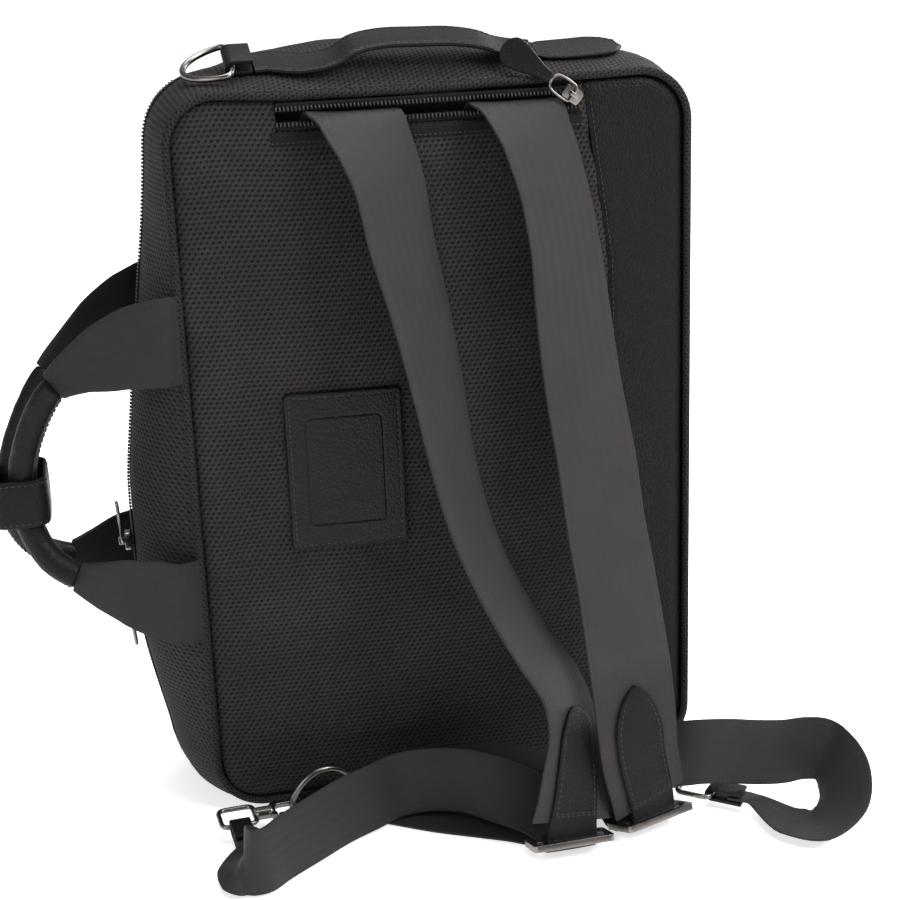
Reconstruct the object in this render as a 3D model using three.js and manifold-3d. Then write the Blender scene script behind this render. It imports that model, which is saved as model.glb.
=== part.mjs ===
// Convertible backpack standing on its end, strap panel towards -Y, carry handles towards -X.
// Millimetres, +Z up, origin at the middle of the flat underside.
import * as THREE from 'three';
import { mergeVertices } from 'three/addons/utils/BufferGeometryUtils.js';
import Module from 'manifold-3d';

const wasm = await Module();
wasm.setup();

// Bag body
const bagWidth = 290;
const bagHeight = 416;
const bagDepth = 105;
const seamLift = 5;
const seamCorner = 28;
const gussetBulge = 35;
const panelDome = 8;
const nearSag = 3;
const farRise = 15;
const baseBand = 48;
const seat = 0.3;

// Walls
const clothWall = 2;
const leatherWall = 2.2;
const panelPad = 5;
const dividerPad = 4;
const pipingRadius = 2.2;
const pocketDepth = 12;

// Zips
const mainZipSlot = 12.6;
const coilWidth = 6;
const coilThick = 1.8;
const tapeThick = 1.2;
const mouthWidth = 168;
const mouthHeight = 15;
const mouthOffset = -2;
const pocketTape = 4.6;
const coilPocket = 3.2;
const sliderLength = 11;
const sliderWidth = 8;
const sliderThick = 3.4;
const bridgeSpan = 1.3;
const bridgeWall = 1;
const bridgeWidth = 2.4;
const pullWire = 0.9;
const mainPull = 24;
const mainHighZ = 160;
const mainLowZ = 117;
const pullLean = 0.2;
const pullDrape = 9;
const sliderTwist = 38;

// Webbing
const wideWebbing = 50;
const narrowWebbing = 38;
const webbingThick = 1.8;
const leftReach = 99;
const rightReach = 86;
const leftSlideX = 42;
const rightSlideX = 94;
const leftTipHeight = 84;
const rightTipHeight = 96;
const tabWidth = 30;
const tabThick = 2.2;

// Slides, rings and hooks
const slideWidth = 47;
const slideHeight = 24;
const slideBar = 3.6;
const slideTilt = 19;
const ringBar = 38;
const ringDepth = 27;
const ringWire = 3.6;
const keeperWidth = 24;
const leftKeeperLeg = 14;
const rightKeeperLeg = 20;
const leftRingLean = 78;
const rightRingLean = 5;
const leftRingX = -86;
const rightRingX = 94;
const hookWire = 3.4;
const hookInside = 10;
const hookLength = 13;
const hookCorner = 4.5;
const eyeInside = 17;
const barrelRadius = 4;
const barrelLength = 7;
const gateLength = 10.5;
const gateThick = 2.6;
const foldWidth = 12;
const foldLeg = 18;
const foldOverlap = 8;

// Carry handles
const handleReach = 95;
const handleSpan = 153;
const handleFoot = 138;
const handleWebbing = 50;
const farDrift = 8;
const gripWidth = 16;
const gripDepth = 17;
const wrapHeight = 28;

// Top handle and patch
const topHandleWidth = 25;
const topHandleThick = 3;
const topHandleTilt = 18;
const topHandleRise = 11;
const topHandleLength = 156;
const endPatchLength = 52;
const endPatchDrift = 10;
const topRingX = -0.72;
const topRingY = -0.4;
const topKeeperLeg = 11;
const topRingDroop = 12;
const pullLength = 30;
const pullWidth = 17;
const wireLoop = 15;
const patchWidth = 66;
const patchHeight = 92;
const patchThick = 1.8;
const patchX = -59.5;
const patchZ = 210.5;

const halfWidth = bagWidth / 2;
const halfDepth = bagDepth / 2;
const seamTop = seamLift + bagHeight;
const rimInset = pipingRadius + seat;
const rimFront = -halfDepth - 1;
const barPitch = (slideHeight - slideBar) / 2;
const barCorner = slideBar * Math.SQRT1_2;
const rollRadius = barCorner + seat + tabThick;
const turnRadius = barCorner + seat + webbingThick / 2;

const nylon = { color: 0x2b2727, roughness: 0.9, metalness: 0 };
const strapNylon = { color: 0x3b3636, roughness: 0.75, metalness: 0 };
const leather = { color: 0x17171a, roughness: 0.5, metalness: 0 };
const lining = { color: 0x1d1d20, roughness: 0.9, metalness: 0 };
const zipBlack = { color: 0x121214, roughness: 0.45, metalness: 0 };
const gunmetal = { color: 0x5b5a58, roughness: 0.3, metalness: 1 };

const bag = new THREE.Group();

// Adds a finished piece to the bag, or to another group.
function addPiece(name, geometry, finish, parent = bag) {
  const mesh = new THREE.Mesh(geometry, new THREE.MeshStandardMaterial(finish));
  mesh.name = name;
  parent.add(mesh);
  return mesh;
}

// Value of a table of [share, value] rows at a share, with straight steps between the rows.
function look(rows, share) {
  const last = rows.length - 1;
  if (share <= rows[0][0]) return rows[0][1];
  for (let i = 0; i < last; i += 1) {
    const [from, low] = rows[i];
    const [to, high] = rows[i + 1];
    if (share <= to) return low + ((high - low) * (share - from)) / (to - from);
  }
  return rows[last][1];
}

// Closed geometry from points and triangles, turned so that its faces point out.
function closedGeometry(points, triangles) {
  let volume = 0;
  for (const [a, b, c] of triangles) {
    volume += points[a].dot(new THREE.Vector3().crossVectors(points[b], points[c]));
  }
  const index = triangles.flatMap(([a, b, c]) => (volume > 0 ? [a, b, c] : [a, c, b]));
  const geometry = new THREE.BufferGeometry();
  geometry.setAttribute('position', new THREE.Float32BufferAttribute(points.flatMap((p) => [p.x, p.y, p.z]), 3));
  geometry.setIndex(index);
  geometry.computeVertexNormals();
  return geometry;
}

// Sheet with a wall, from two grids of points. Cells where isOpen says so are left out.
function sheetSolid(outer, inner, isOpen = () => false) {
  const rows = outer.length;
  const columns = outer[0].length;
  const points = [...outer.flat(), ...inner.flat()];
  const skin = rows * columns;
  const at = (i, j) => i * columns + j;
  const solid = (i, j) => i >= 0 && j >= 0 && i < rows - 1 && j < columns - 1 && !isOpen(i, j);
  const triangles = [];
  const wall = (a, b) => {
    triangles.push([b, a, a + skin], [b, a + skin, b + skin]);
  };
  for (let i = 0; i < rows - 1; i += 1) {
    for (let j = 0; j < columns - 1; j += 1) {
      if (!solid(i, j)) continue;
      const [a, b, c, d] = [at(i, j), at(i + 1, j), at(i + 1, j + 1), at(i, j + 1)];
      triangles.push([a, b, c], [a, c, d]);
      triangles.push([a + skin, c + skin, b + skin], [a + skin, d + skin, c + skin]);
      if (!solid(i, j - 1)) wall(a, b);
      if (!solid(i + 1, j)) wall(b, c);
      if (!solid(i, j + 1)) wall(c, d);
      if (!solid(i - 1, j)) wall(d, a);
    }
  }
  return closedGeometry(points, triangles);
}

// Solid swept through frames, each with a centre, two directions and a ring of [across, up] points.
function sweepSolid(frames, ringOf) {
  const rings = frames.map((frame) => ringOf(frame).map(([a, b]) => frame.centre.clone()
    .addScaledVector(frame.across, a)
    .addScaledVector(frame.normal, b)));
  const sides = rings[0].length;
  const points = rings.flat();
  const triangles = [];
  for (let i = 0; i < rings.length - 1; i += 1) {
    for (let k = 0; k < sides; k += 1) {
      const a = i * sides + k;
      const b = i * sides + ((k + 1) % sides);
      triangles.push([a, b, b + sides], [a, b + sides, a + sides]);
    }
  }
  const end = (rings.length - 1) * sides;
  for (let k = 1; k < sides - 1; k += 1) {
    triangles.push([0, k + 1, k], [end, end + k, end + k + 1]);
  }
  return closedGeometry(points, triangles);
}

// Round wire bent into a closed flat ring. Every point lies in the plane across flat.
function ringTube(path, flat, radius, sides) {
  const count = path.length;
  const points = [];
  const triangles = [];
  path.forEach((point, i) => {
    const ahead = path[(i + 1) % count];
    const behind = path[(i + count - 1) % count];
    const outward = new THREE.Vector3().crossVectors(ahead.clone().sub(behind).normalize(), flat).normalize();
    for (let k = 0; k < sides; k += 1) {
      const angle = (2 * Math.PI * k) / sides;
      points.push(point.clone()
        .addScaledVector(outward, radius * Math.cos(angle))
        .addScaledVector(flat, radius * Math.sin(angle)));
      const a = i * sides + k;
      const b = i * sides + ((k + 1) % sides);
      const next = ((i + 1) % count) * sides;
      triangles.push([a, b, next + ((k + 1) % sides)], [a, next + ((k + 1) % sides), next + k]);
    }
  });
  return closedGeometry(points, triangles);
}

// Frames along a smooth path. Each row is [x, y, z, heading, tilt, width, thickness]: heading and
// tilt, in degrees, give the direction that the width runs in.
function pathFrames(rows, count, from = 0, to = 1) {
  const curve = new THREE.CatmullRomCurve3(rows.map(([x, y, z]) => new THREE.Vector3(x, y, z)), false, 'centripetal');
  const last = rows.length - 1;
  const column = (share, k) => look(rows.map((row, i) => [i / last, row[k]]), share);
  const frames = [];
  for (let i = 0; i <= count; i += 1) {
    const share = from + ((to - from) * i) / count;
    const heading = THREE.MathUtils.degToRad(column(share, 3));
    const tilt = THREE.MathUtils.degToRad(column(share, 4));
    const along = curve.getTangent(share);
    const hint = new THREE.Vector3(
      Math.cos(tilt) * Math.cos(heading),
      Math.cos(tilt) * Math.sin(heading),
      Math.sin(tilt),
    );
    const across = hint.addScaledVector(along, -hint.dot(along)).normalize();
    const normal = new THREE.Vector3().crossVectors(across, along).normalize();
    frames.push({
      centre: curve.getPoint(share), across, normal, width: column(share, 5), thick: column(share, 6),
    });
  }
  return frames;
}

// Flat ring of a strap's section.
function flatSection({ width, thick }) {
  const [a, b] = [width / 2, thick / 2];
  return [[-a, -b], [a, -b], [a, b], [-a, b]];
}

// Oval ring of a padded grip's section.
function ovalSection({ width, thick }) {
  const ring = [];
  for (let k = 0; k < 8; k += 1) {
    const angle = (Math.PI * (2 * k + 1)) / 8;
    ring.push([(width / 2) * Math.cos(angle), (thick / 2) * Math.sin(angle)]);
  }
  return ring;
}

// Solid of a closed geometry, for joins and cuts.
function toManifold(geometry) {
  const plain = geometry.clone();
  plain.deleteAttribute('normal');
  plain.deleteAttribute('uv');
  const merged = mergeVertices(plain, 1e-4);
  return new wasm.Manifold(new wasm.Mesh({
    numProp: 3,
    vertProperties: new Float32Array(merged.attributes.position.array),
    triVerts: new Uint32Array(merged.index.array),
  }));
}

// Geometry of a joined or cut solid.
function fromManifold(solid) {
  const mesh = solid.getMesh();
  const geometry = new THREE.BufferGeometry();
  geometry.setAttribute('position', new THREE.Float32BufferAttribute(Array.from(mesh.vertProperties), 3));
  geometry.setIndex(Array.from(mesh.triVerts));
  geometry.computeVertexNormals();
  return geometry;
}

// Outline with round corners, for plates.
function roundedShape(width, height, radius) {
  const [w, h] = [width / 2, height / 2];
  const shape = new THREE.Shape();
  shape.moveTo(-w + radius, -h);
  shape.lineTo(w - radius, -h);
  shape.absarc(w - radius, -h + radius, radius, -Math.PI / 2, 0, false);
  shape.lineTo(w, h - radius);
  shape.absarc(w - radius, h - radius, radius, 0, Math.PI / 2, false);
  shape.lineTo(-w + radius, h);
  shape.absarc(-w + radius, h - radius, radius, Math.PI / 2, Math.PI, false);
  shape.lineTo(-w, -h + radius);
  shape.absarc(-w + radius, -h + radius, radius, Math.PI, 1.5 * Math.PI, false);
  return shape;
}

// Bulge of the gusset between the seams along each side, as shares of gussetBulge.
const bulgeShares = {
  bottom: [[0, 0.4], [1, 0.4]],
  left: [[0, 0.6], [0.12, 0.86], [0.2, 1], [0.46, 1], [0.65, 0.74], [0.77, 0.55], [0.89, 0.37], [1, 0.25]],
  top: [[0, 0.22], [0.12, 0.34], [0.3, 0.36], [0.7, 0.34], [0.9, 0.26], [1, 0.2]],
  right: [[0, 0.22], [0.3, 0.42], [0.7, 0.42], [1, 0.35]],
};

// Dip of the near top seam and lift of the far one, from left to right.
const sagShares = [[0, 0], [0.15, 0.8], [0.35, 1], [0.7, 0.6], [1, 0]];
const riseShares = [[0, 0], [0.12, 0.55], [0.3, 1], [0.6, 0.8], [0.85, 0.3], [1, 0]];

// Steps of the seam outline: four sides and four corners.
const sideSteps = { bottom: 6, left: 12, top: 11, right: 9 };
const cornerSteps = 4;
const panelRows = 8;

// One station of the seam outline: place, outward direction and bulge.
function station(x, z, angle, share, near = 0, far = 0) {
  return {
    x, z, nx: Math.cos(angle), nz: Math.sin(angle), bulge: gussetBulge * share, near, far,
  };
}

// Corner of the seam outline, turning clockwise from one side's end to the next side's start.
function cornerStations(x, z, startAngle, fromShare, toShare) {
  const list = [];
  for (let k = 1; k < cornerSteps; k += 1) {
    const t = k / cornerSteps;
    const angle = startAngle - (Math.PI / 2) * t;
    const share = fromShare + (toShare - fromShare) * t;
    list.push(station(x + seamCorner * Math.cos(angle), z + seamCorner * Math.sin(angle), angle, share));
  }
  return list;
}

// Whole seam outline, clockwise from the right end of the bottom.
function seamOutline() {
  const reach = halfWidth - seamCorner;
  const [low, high] = [seamLift + seamCorner, seamTop - seamCorner];
  const side = (name, place) => {
    const list = [];
    for (let k = 0; k <= sideSteps[name]; k += 1) {
      const share = k / sideSteps[name];
      list.push(place(share, look(bulgeShares[name], share)));
    }
    return list;
  };
  const ends = (name) => bulgeShares[name].map((row) => row[1]);
  const lastOf = (name) => ends(name)[ends(name).length - 1];
  const bottom = side('bottom', (t, b) => station(reach - 2 * reach * t, seamLift, -Math.PI / 2, b));
  const left = side('left', (t, b) => station(-halfWidth, low + (high - low) * t, Math.PI, b));
  const top = side('top', (t, b) => station(
    -reach + 2 * reach * t,
    seamTop,
    Math.PI / 2,
    b,
    -nearSag * look(sagShares, t),
    farRise * look(riseShares, t),
  ));
  const right = side('right', (t, b) => station(halfWidth, high - (high - low) * t, 0, b));
  const bottomLeft = cornerStations(-reach, low, -Math.PI / 2, lastOf('bottom'), ends('left')[0]);
  const topLeft = cornerStations(-reach, high, Math.PI, lastOf('left'), ends('top')[0]);
  const topRight = cornerStations(reach, high, Math.PI / 2, lastOf('top'), ends('right')[0]);
  const bottomRight = cornerStations(reach, low, 0, lastOf('right'), ends('bottom')[0]);
  const outline = [];
  const marks = {};
  const sections = {
    bottom, bottomLeft, left, topLeft, top, topRight, right, bottomRight,
  };
  for (const [name, list] of Object.entries(sections)) {
    marks[name] = outline.length;
    outline.push(...list);
  }
  return { outline, marks };
}

const { outline, marks } = seamOutline();

// Point of the gusset at depth y, moved inwards from its outer face.
function gussetPoint(place, y, inward = 0) {
  const share = y / halfDepth;
  const slope = (-2 * place.bulge * share) / halfDepth;
  const norm = Math.hypot(1, slope);
  const out = place.bulge * (1 - share * share) - inward / norm;
  const lean = (1 - share) / 2;
  const z = place.z + place.near * lean + place.far * (1 - lean) + place.nz * out;
  return new THREE.Vector3(place.x + place.nx * out, y + (inward * slope) / norm, Math.max(z, inward, 0));
}

// Height of the gusset's top face over a place.
function topFace(x, y) {
  const reach = halfWidth - seamCorner;
  const share = THREE.MathUtils.clamp((x + reach) / (2 * reach), 0, 1);
  const place = station(
    x,
    seamTop,
    Math.PI / 2,
    look(bulgeShares.top, share),
    -nearSag * look(sagShares, share),
    farRise * look(riseShares, share),
  );
  return gussetPoint(place, y).z;
}

// Reach of the gusset's left face at a height, as its X.
function leftFace(z, y) {
  const [low, high] = [seamLift + seamCorner, seamTop - seamCorner];
  const share = look(bulgeShares.left, (z - low) / (high - low));
  return -halfWidth - gussetBulge * share * (1 - (y / halfDepth) ** 2);
}

// Stations of the outline from one index to another, round the loop, both included.
function outlineRun(from, to) {
  const list = [];
  for (let i = from; i <= to; i += 1) list.push(outline[i % outline.length]);
  return list;
}

const gussetEdge = halfDepth - pipingRadius - seat;
const gussetRows = [-1, -0.6, 0, 0, 0.6, 1].map((share, k) => {
  if (share === 0) return k === 2 ? -mainZipSlot / 2 : mainZipSlot / 2;
  return share * gussetEdge;
});

// Gusset piece over a run of stations. The cells between the two middle rows can be a slot.
function gussetPiece(run, wall, slotFrom = 0, slotTo = 0) {
  const grid = (inward) => run.map((place) => gussetRows.map((y) => gussetPoint(place, y, inward)));
  return sheetSolid(grid(0), grid(wall), (i, j) => j === 2 && i >= slotFrom && i < slotTo);
}

// Station moved along its side, to leave a seam's gap.
function shifted(place, dz) {
  return { ...place, z: place.z + dz };
}

// Cloth gusset round the bottom, left, top and corners, and the leather one on the base side.
function addGussets() {
  const from = marks.bottomRight - 1;
  const to = marks.right + 1 + outline.length;
  const clothRun = outlineRun(from, to);
  const slotFrom = marks.bottomLeft + 1 + outline.length - from;
  const slotTo = marks.top - 1 + outline.length - from;
  addPiece('gusset_cloth', gussetPiece(clothRun, clothWall, slotFrom, slotTo), nylon);
  const leatherRun = outlineRun(marks.right + 1, marks.bottomRight - 1);
  leatherRun[0] = shifted(leatherRun[0], -seat);
  leatherRun[leatherRun.length - 1] = shifted(leatherRun[leatherRun.length - 1], seat);
  addPiece('gusset_leather', gussetPiece(leatherRun, leatherWall), leather);
}

// Piping cord along the near or the far seam.
function pipingGeometry(y, lean) {
  const path = outline.map((place) => new THREE.Vector3(
    place.x,
    y,
    place.z + place.near * lean + place.far * (1 - lean),
  ));
  return ringTube(path, new THREE.Vector3(0, 1, 0), pipingRadius, 5);
}

// Edge of the leather base band over the panel's height, as shares of baseBand.
const bandShares = [[0, 0.94], [0.5, 1], [0.75, 1], [1, 1.27]];

// X of the seam between cloth and leather on the panels.
function bandEdge(z) {
  return halfWidth - baseBand * look(bandShares, (z - seamLift) / bagHeight);
}

// X of the panel's side edge at a height, inside the seam.
function sideEdge(z) {
  const radius = seamCorner - rimInset;
  const over = Math.max(seamLift + seamCorner - z, z - seamTop + seamCorner, 0);
  return halfWidth - seamCorner + Math.sqrt(Math.max(radius * radius - over * over, 0));
}

// Heights of a panel's rows: closer in the round corners.
function panelHeights(straightRows) {
  const radius = seamCorner - rimInset;
  const heights = [];
  for (let k = 0; k < cornerSteps; k += 1) {
    heights.push(seamLift + seamCorner - radius * Math.cos((k * Math.PI) / (2 * cornerSteps)));
  }
  for (let k = 0; k <= straightRows; k += 1) {
    heights.push(seamLift + seamCorner + ((bagHeight - 2 * seamCorner) * k) / straightRows);
  }
  for (let k = cornerSteps - 1; k >= 0; k -= 1) {
    heights.push(seamTop - seamCorner + radius * Math.cos((k * Math.PI) / (2 * cornerSteps)));
  }
  return heights;
}

// How far the filled bag pushes a panel out at a place, from 0 at the seams to 1 in the middle.
function domeShare(x, z) {
  const across = x / halfWidth;
  const up = (z - seamLift - bagHeight / 2) / (bagHeight / 2);
  return Math.max(1 - across * across, 0) * Math.max(1 - up * up, 0);
}

// Shift of a panel's point with the top seam, which dips on the near side and lifts on the far one.
function seamShift(x, z, size, shares) {
  const reach = halfWidth - seamCorner;
  const share = THREE.MathUtils.clamp((x + reach) / (2 * reach), 0, 1);
  return size * look(shares, share) * ((z - seamLift) / bagHeight) ** 4;
}

// Face of the near panel at a place.
function nearFace(x, z) {
  return rimFront - panelDome * domeShare(x, z);
}

// Panel between two side edges, with faces at the given depths.
function panelPiece(leftOf, rightOf, columns, straightRows, frontOf, backOf, shiftOf) {
  const grid = (depthOf) => panelHeights(straightRows).map((z) => {
    const row = [];
    for (let k = 0; k <= columns; k += 1) {
      const x = leftOf(z) + ((rightOf(z) - leftOf(z)) * k) / columns;
      row.push(new THREE.Vector3(x, depthOf(x, z), z + shiftOf(x, z)));
    }
    return row;
  });
  return sheetSolid(grid(frontOf), grid(backOf));
}

const mouthTop = seamTop - rimInset - nearSag;
const mouthLow = mouthTop - mouthHeight;

// Near panel: cloth with the strap pocket's mouth cut into its top edge, and its leather band.
function addNearPanel() {
  const shift = (x, z) => seamShift(x, z, -nearSag, sagShares);
  const back = (x, z) => nearFace(x, z) + panelPad;
  const cloth = panelPiece((z) => -sideEdge(z), (z) => bandEdge(z) - seat, 10, panelRows, nearFace, back, shift);
  const notch = new THREE.BoxGeometry(mouthWidth, 60, mouthHeight * 2);
  notch.translate(mouthOffset, rimFront, mouthLow + mouthHeight);
  const cut = toManifold(cloth).subtract(toManifold(notch));
  addPiece('back_panel_cloth', fromManifold(cut), nylon);
  const band = panelPiece(bandEdge, sideEdge, 3, panelRows, nearFace, back, shift);
  addPiece('back_panel_leather', band, leather);
}

// Far panel, plain, with the same leather band.
function addFarPanel() {
  const shift = (x, z) => seamShift(x, z, farRise, riseShares);
  const front = (x, z) => halfDepth + 1 + panelDome * domeShare(x, z);
  const inside = (x, z) => front(x, z) - panelPad;
  const cloth = panelPiece((z) => -sideEdge(z), (z) => bandEdge(z) - seat, 6, panelRows, front, inside, shift);
  addPiece('front_panel_cloth', cloth, nylon);
  addPiece('front_panel_leather', panelPiece(bandEdge, sideEdge, 3, panelRows, front, inside, shift), leather);
}

// Padded wall behind the strap pocket, dished away from the panel inside its rim.
function addPocketWall() {
  const edge = 26;
  const dish = (x, z) => {
    const side = (sideEdge(z) - Math.abs(x)) / edge;
    const ends = Math.min(z - seamLift - rimInset, seamTop - rimInset - z) / edge;
    const share = THREE.MathUtils.clamp(Math.min(side, ends), 0, 1);
    return pocketDepth * Math.sin((share * Math.PI) / 2);
  };
  const front = (x, z) => rimFront + panelPad + seat + dish(x, z);
  const shift = (x, z) => seamShift(x, z, -nearSag, sagShares);
  const wall = panelPiece((z) => -sideEdge(z), sideEdge, 7, 6, front, (x, z) => front(x, z) + dividerPad, shift);
  addPiece('pocket_wall', wall, lining);
}

// Tape and coil that fill the main zip's slot, from one bottom corner to one top corner.
function addMainZip() {
  const run = outlineRun(marks.bottomLeft + 1, marks.top - 1);
  const strip = (width, outside, inside) => {
    const rows = [-width / 2, width / 2];
    const grid = (inward) => run.map((place, i) => {
      const next = i === 0 ? run[1] : run[run.length - 2];
      const atEnd = i === 0 || i === run.length - 1;
      const end = atEnd ? { ...place, x: place.x + (next.x - place.x) * 0.06, z: place.z + (next.z - place.z) * 0.06 } : place;
      return rows.map((y) => gussetPoint(end, y, inward));
    });
    return sheetSolid(grid(outside), grid(inside));
  };
  addPiece('main_zip_tape', strip(mainZipSlot - 2 * seat, seat, seat + tapeThick), zipBlack);
  addPiece('main_zip_coil', strip(coilWidth, -coilThick + seat, 0), zipBlack);
}

// Slider of a zip, running along its own X with the bridge on its +Z side.
function sliderGeometry() {
  const plate = new THREE.ExtrudeGeometry(roundedShape(sliderLength, sliderWidth, 2), {
    depth: sliderThick, bevelEnabled: false, curveSegments: 2,
  });
  const bridge = new THREE.Shape();
  bridge.moveTo(-bridgeSpan - bridgeWall, -bridgeWall);
  bridge.lineTo(bridgeSpan + bridgeWall, -bridgeWall);
  bridge.lineTo(bridgeSpan + bridgeWall, 2 * bridgeSpan + bridgeWall);
  bridge.lineTo(-bridgeSpan - bridgeWall, 2 * bridgeSpan + bridgeWall);
  const eye = new THREE.Path();
  eye.moveTo(-bridgeSpan, 0);
  eye.lineTo(bridgeSpan, 0);
  eye.lineTo(bridgeSpan, 2 * bridgeSpan);
  eye.lineTo(-bridgeSpan, 2 * bridgeSpan);
  bridge.holes.push(eye);
  const arch = new THREE.ExtrudeGeometry(bridge, { depth: bridgeWidth, bevelEnabled: false });
  arch.rotateX(Math.PI / 2);
  arch.translate(0, bridgeWidth / 2, sliderThick);
  return fromManifold(toManifold(plate).add(toManifold(arch)));
}

// Wire loop of a zip's pull, hinged on its own Y axis and reaching along +X.
function loopGeometry(length) {
  const half = sliderWidth / 2 + pullWire + seat;
  const path = [
    [0, -half * 0.8], [pullWire, -half], [length - half * 0.6, -half], [length - half * 0.2, -half * 0.6],
    [length, 0], [length - half * 0.2, half * 0.6], [length - half * 0.6, half], [pullWire, half], [0, half * 0.8],
  ].map(([x, y]) => new THREE.Vector3(x, y, 0));
  return ringTube(path, new THREE.Vector3(0, 0, 1), pullWire, 5);
}

// Slider and pull of the main zip at a height. The pull points up or down along the zip.
function addMainSlider(name, z, pullAngle) {
  const place = new THREE.Group();
  const slope = Math.atan2(leftFace(z + 8, 0) - leftFace(z - 8, 0), 16);
  place.position.set(leftFace(z, 0) - coilThick - seat, 0, z);
  place.rotation.set(0, -Math.PI / 2 + slope, 0);
  bag.add(place);
  addPiece(`${name}_slider`, sliderGeometry(), gunmetal, place);
  const pull = addPiece(`${name}_pull`, loopGeometry(mainPull), gunmetal, place);
  pull.position.z = sliderThick + bridgeSpan;
  pull.rotation.y = pullAngle;
}

// Tapes and coils at the two lips of the strap pocket's mouth.
function addPocketZip() {
  const half = mouthWidth / 2 - 2 * seat;
  const lipFace = nearFace(mouthOffset, mouthLow);
  const strip = (name, low, high, y, thick) => {
    const geometry = new THREE.BoxGeometry(2 * half, thick, high - low);
    const piece = addPiece(name, geometry, zipBlack);
    piece.position.set(mouthOffset, y, (low + high) / 2);
  };
  const low = mouthLow + seat;
  const high = mouthTop - seat;
  strip('pocket_tape_low', low, low + pocketTape, lipFace + tapeThick, tapeThick);
  strip('pocket_coil_low', low + pocketTape - coilPocket, low + pocketTape, lipFace - seat, coilThick);
  strip('pocket_tape_high', high - pocketTape, high, lipFace + tapeThick, tapeThick);
  strip('pocket_coil_high', high - pocketTape, high - pocketTape + coilPocket, lipFace - seat, coilThick);
}

// Slider at the mouth's right end, with a wire loop and a leather pull laid back over the top.
function addPocketSlider() {
  const place = new THREE.Group();
  const face = nearFace(mouthOffset, mouthLow) - seat - coilThick / 2;
  const twist = THREE.MathUtils.degToRad(sliderTwist);
  place.position.set(mouthOffset + mouthWidth / 2 - sliderLength / 2, face - seat, mouthTop - pocketTape);
  place.rotation.set(Math.PI / 2, twist, 0, 'YXZ');
  bag.add(place);
  addPiece('pocket_slider', sliderGeometry(), gunmetal, place);
  const pull = new THREE.Group();
  pull.position.z = sliderThick + bridgeSpan;
  pull.rotation.y = Math.PI - pullLean;
  place.add(pull);
  addPiece('pocket_pull_wire', loopGeometry(wireLoop), gunmetal, pull);
  const outlineRows = [[0, 0.42], [0.12, 0.5], [0.3, 0.62], [0.6, 0.92], [0.8, 1], [0.93, 0.8], [1, 0.4]];
  const frames = outlineRows.map(([share, width]) => ({
    centre: new THREE.Vector3(wireLoop + pullWire + seat + share * pullLength, 0, pullDrape * share * share),
    across: new THREE.Vector3(0, 1, 0),
    normal: new THREE.Vector3(0, 0, 1),
    width: width * pullWidth,
    thick: leatherWall,
  }));
  addPiece('pocket_pull_leather', sweepSolid(frames, flatSection), leather, pull);
}

// Slide lying on the floor: where it is, how it is turned and where its bars are.
function slidePlace(x, out, heading) {
  const tilt = THREE.MathUtils.degToRad(slideTilt);
  const turn = THREE.MathUtils.degToRad(heading);
  const centre = new THREE.Vector3(x, -halfDepth - out, turnRadius + webbingThick / 2 + seat + barPitch * Math.sin(tilt));
  const away = new THREE.Vector3(-Math.sin(turn), Math.cos(turn), 0);
  const farBar = centre.clone().addScaledVector(away, barPitch * Math.cos(tilt));
  farBar.z -= barPitch * Math.sin(tilt);
  return { centre, farBar, away, heading, tilt, turn };
}

const leftSlide = slidePlace(leftSlideX, leftReach, 2);
const rightSlide = slidePlace(rightSlideX, rightReach, 21);

// Flat three-bar slide.
function addSlide(name, slide) {
  const frame = roundedShape(slideWidth, slideHeight, 3);
  for (const side of [-1, 1]) {
    const slot = roundedShape(slideWidth - 2 * slideBar, barPitch - slideBar, 1).getPoints(2);
    frame.holes.push(new THREE.Path(slot.map((p) => new THREE.Vector2(p.x, p.y + (side * barPitch) / 2)).reverse()));
  }
  const geometry = new THREE.ExtrudeGeometry(frame, { depth: slideBar, bevelEnabled: false, curveSegments: 3 });
  geometry.translate(0, 0, -slideBar / 2);
  const piece = addPiece(name, geometry, gunmetal);
  piece.position.copy(slide.centre);
  piece.rotation.set(-slide.tilt, 0, slide.turn, 'ZXY');
}

// Wide straps from the pocket wall, over the mouth's lower lip and down to the slides. Across is a
// share of halfWidth, out of the strap's reach, up of bagHeight, and turn is in degrees.
const leftStrapTable = [
  // across, out, up, turn
  [-0.33, -0.142, 0.905, 0], [-0.33, -0.1, 0.94, 0], [-0.32, -0.035, 0.9665, 1], [-0.305, 0.04, 0.9685, 3],
  [-0.285, 0.125, 0.962, 12], [-0.25, 0.19, 0.933, 24], [-0.207, 0.24, 0.885, 32], [-0.172, 0.27, 0.805, 36],
  [-0.124, 0.3, 0.726, 41], [-0.069, 0.34, 0.615, 46], [-0.028, 0.39, 0.514, 51], [0.021, 0.455, 0.43, 54],
  [0.103, 0.552, 0.346, 56], [0.214, 0.69, 0.267, 56], [0.303, 0.819, 0.216, 53], [0.331, 0.875, 0.171, 46],
  [0.331, 0.905, 0.132, 38], [0.315, 0.965, 0.07, 24], [0.3, 0.995, 0.036, 14],
];
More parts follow.
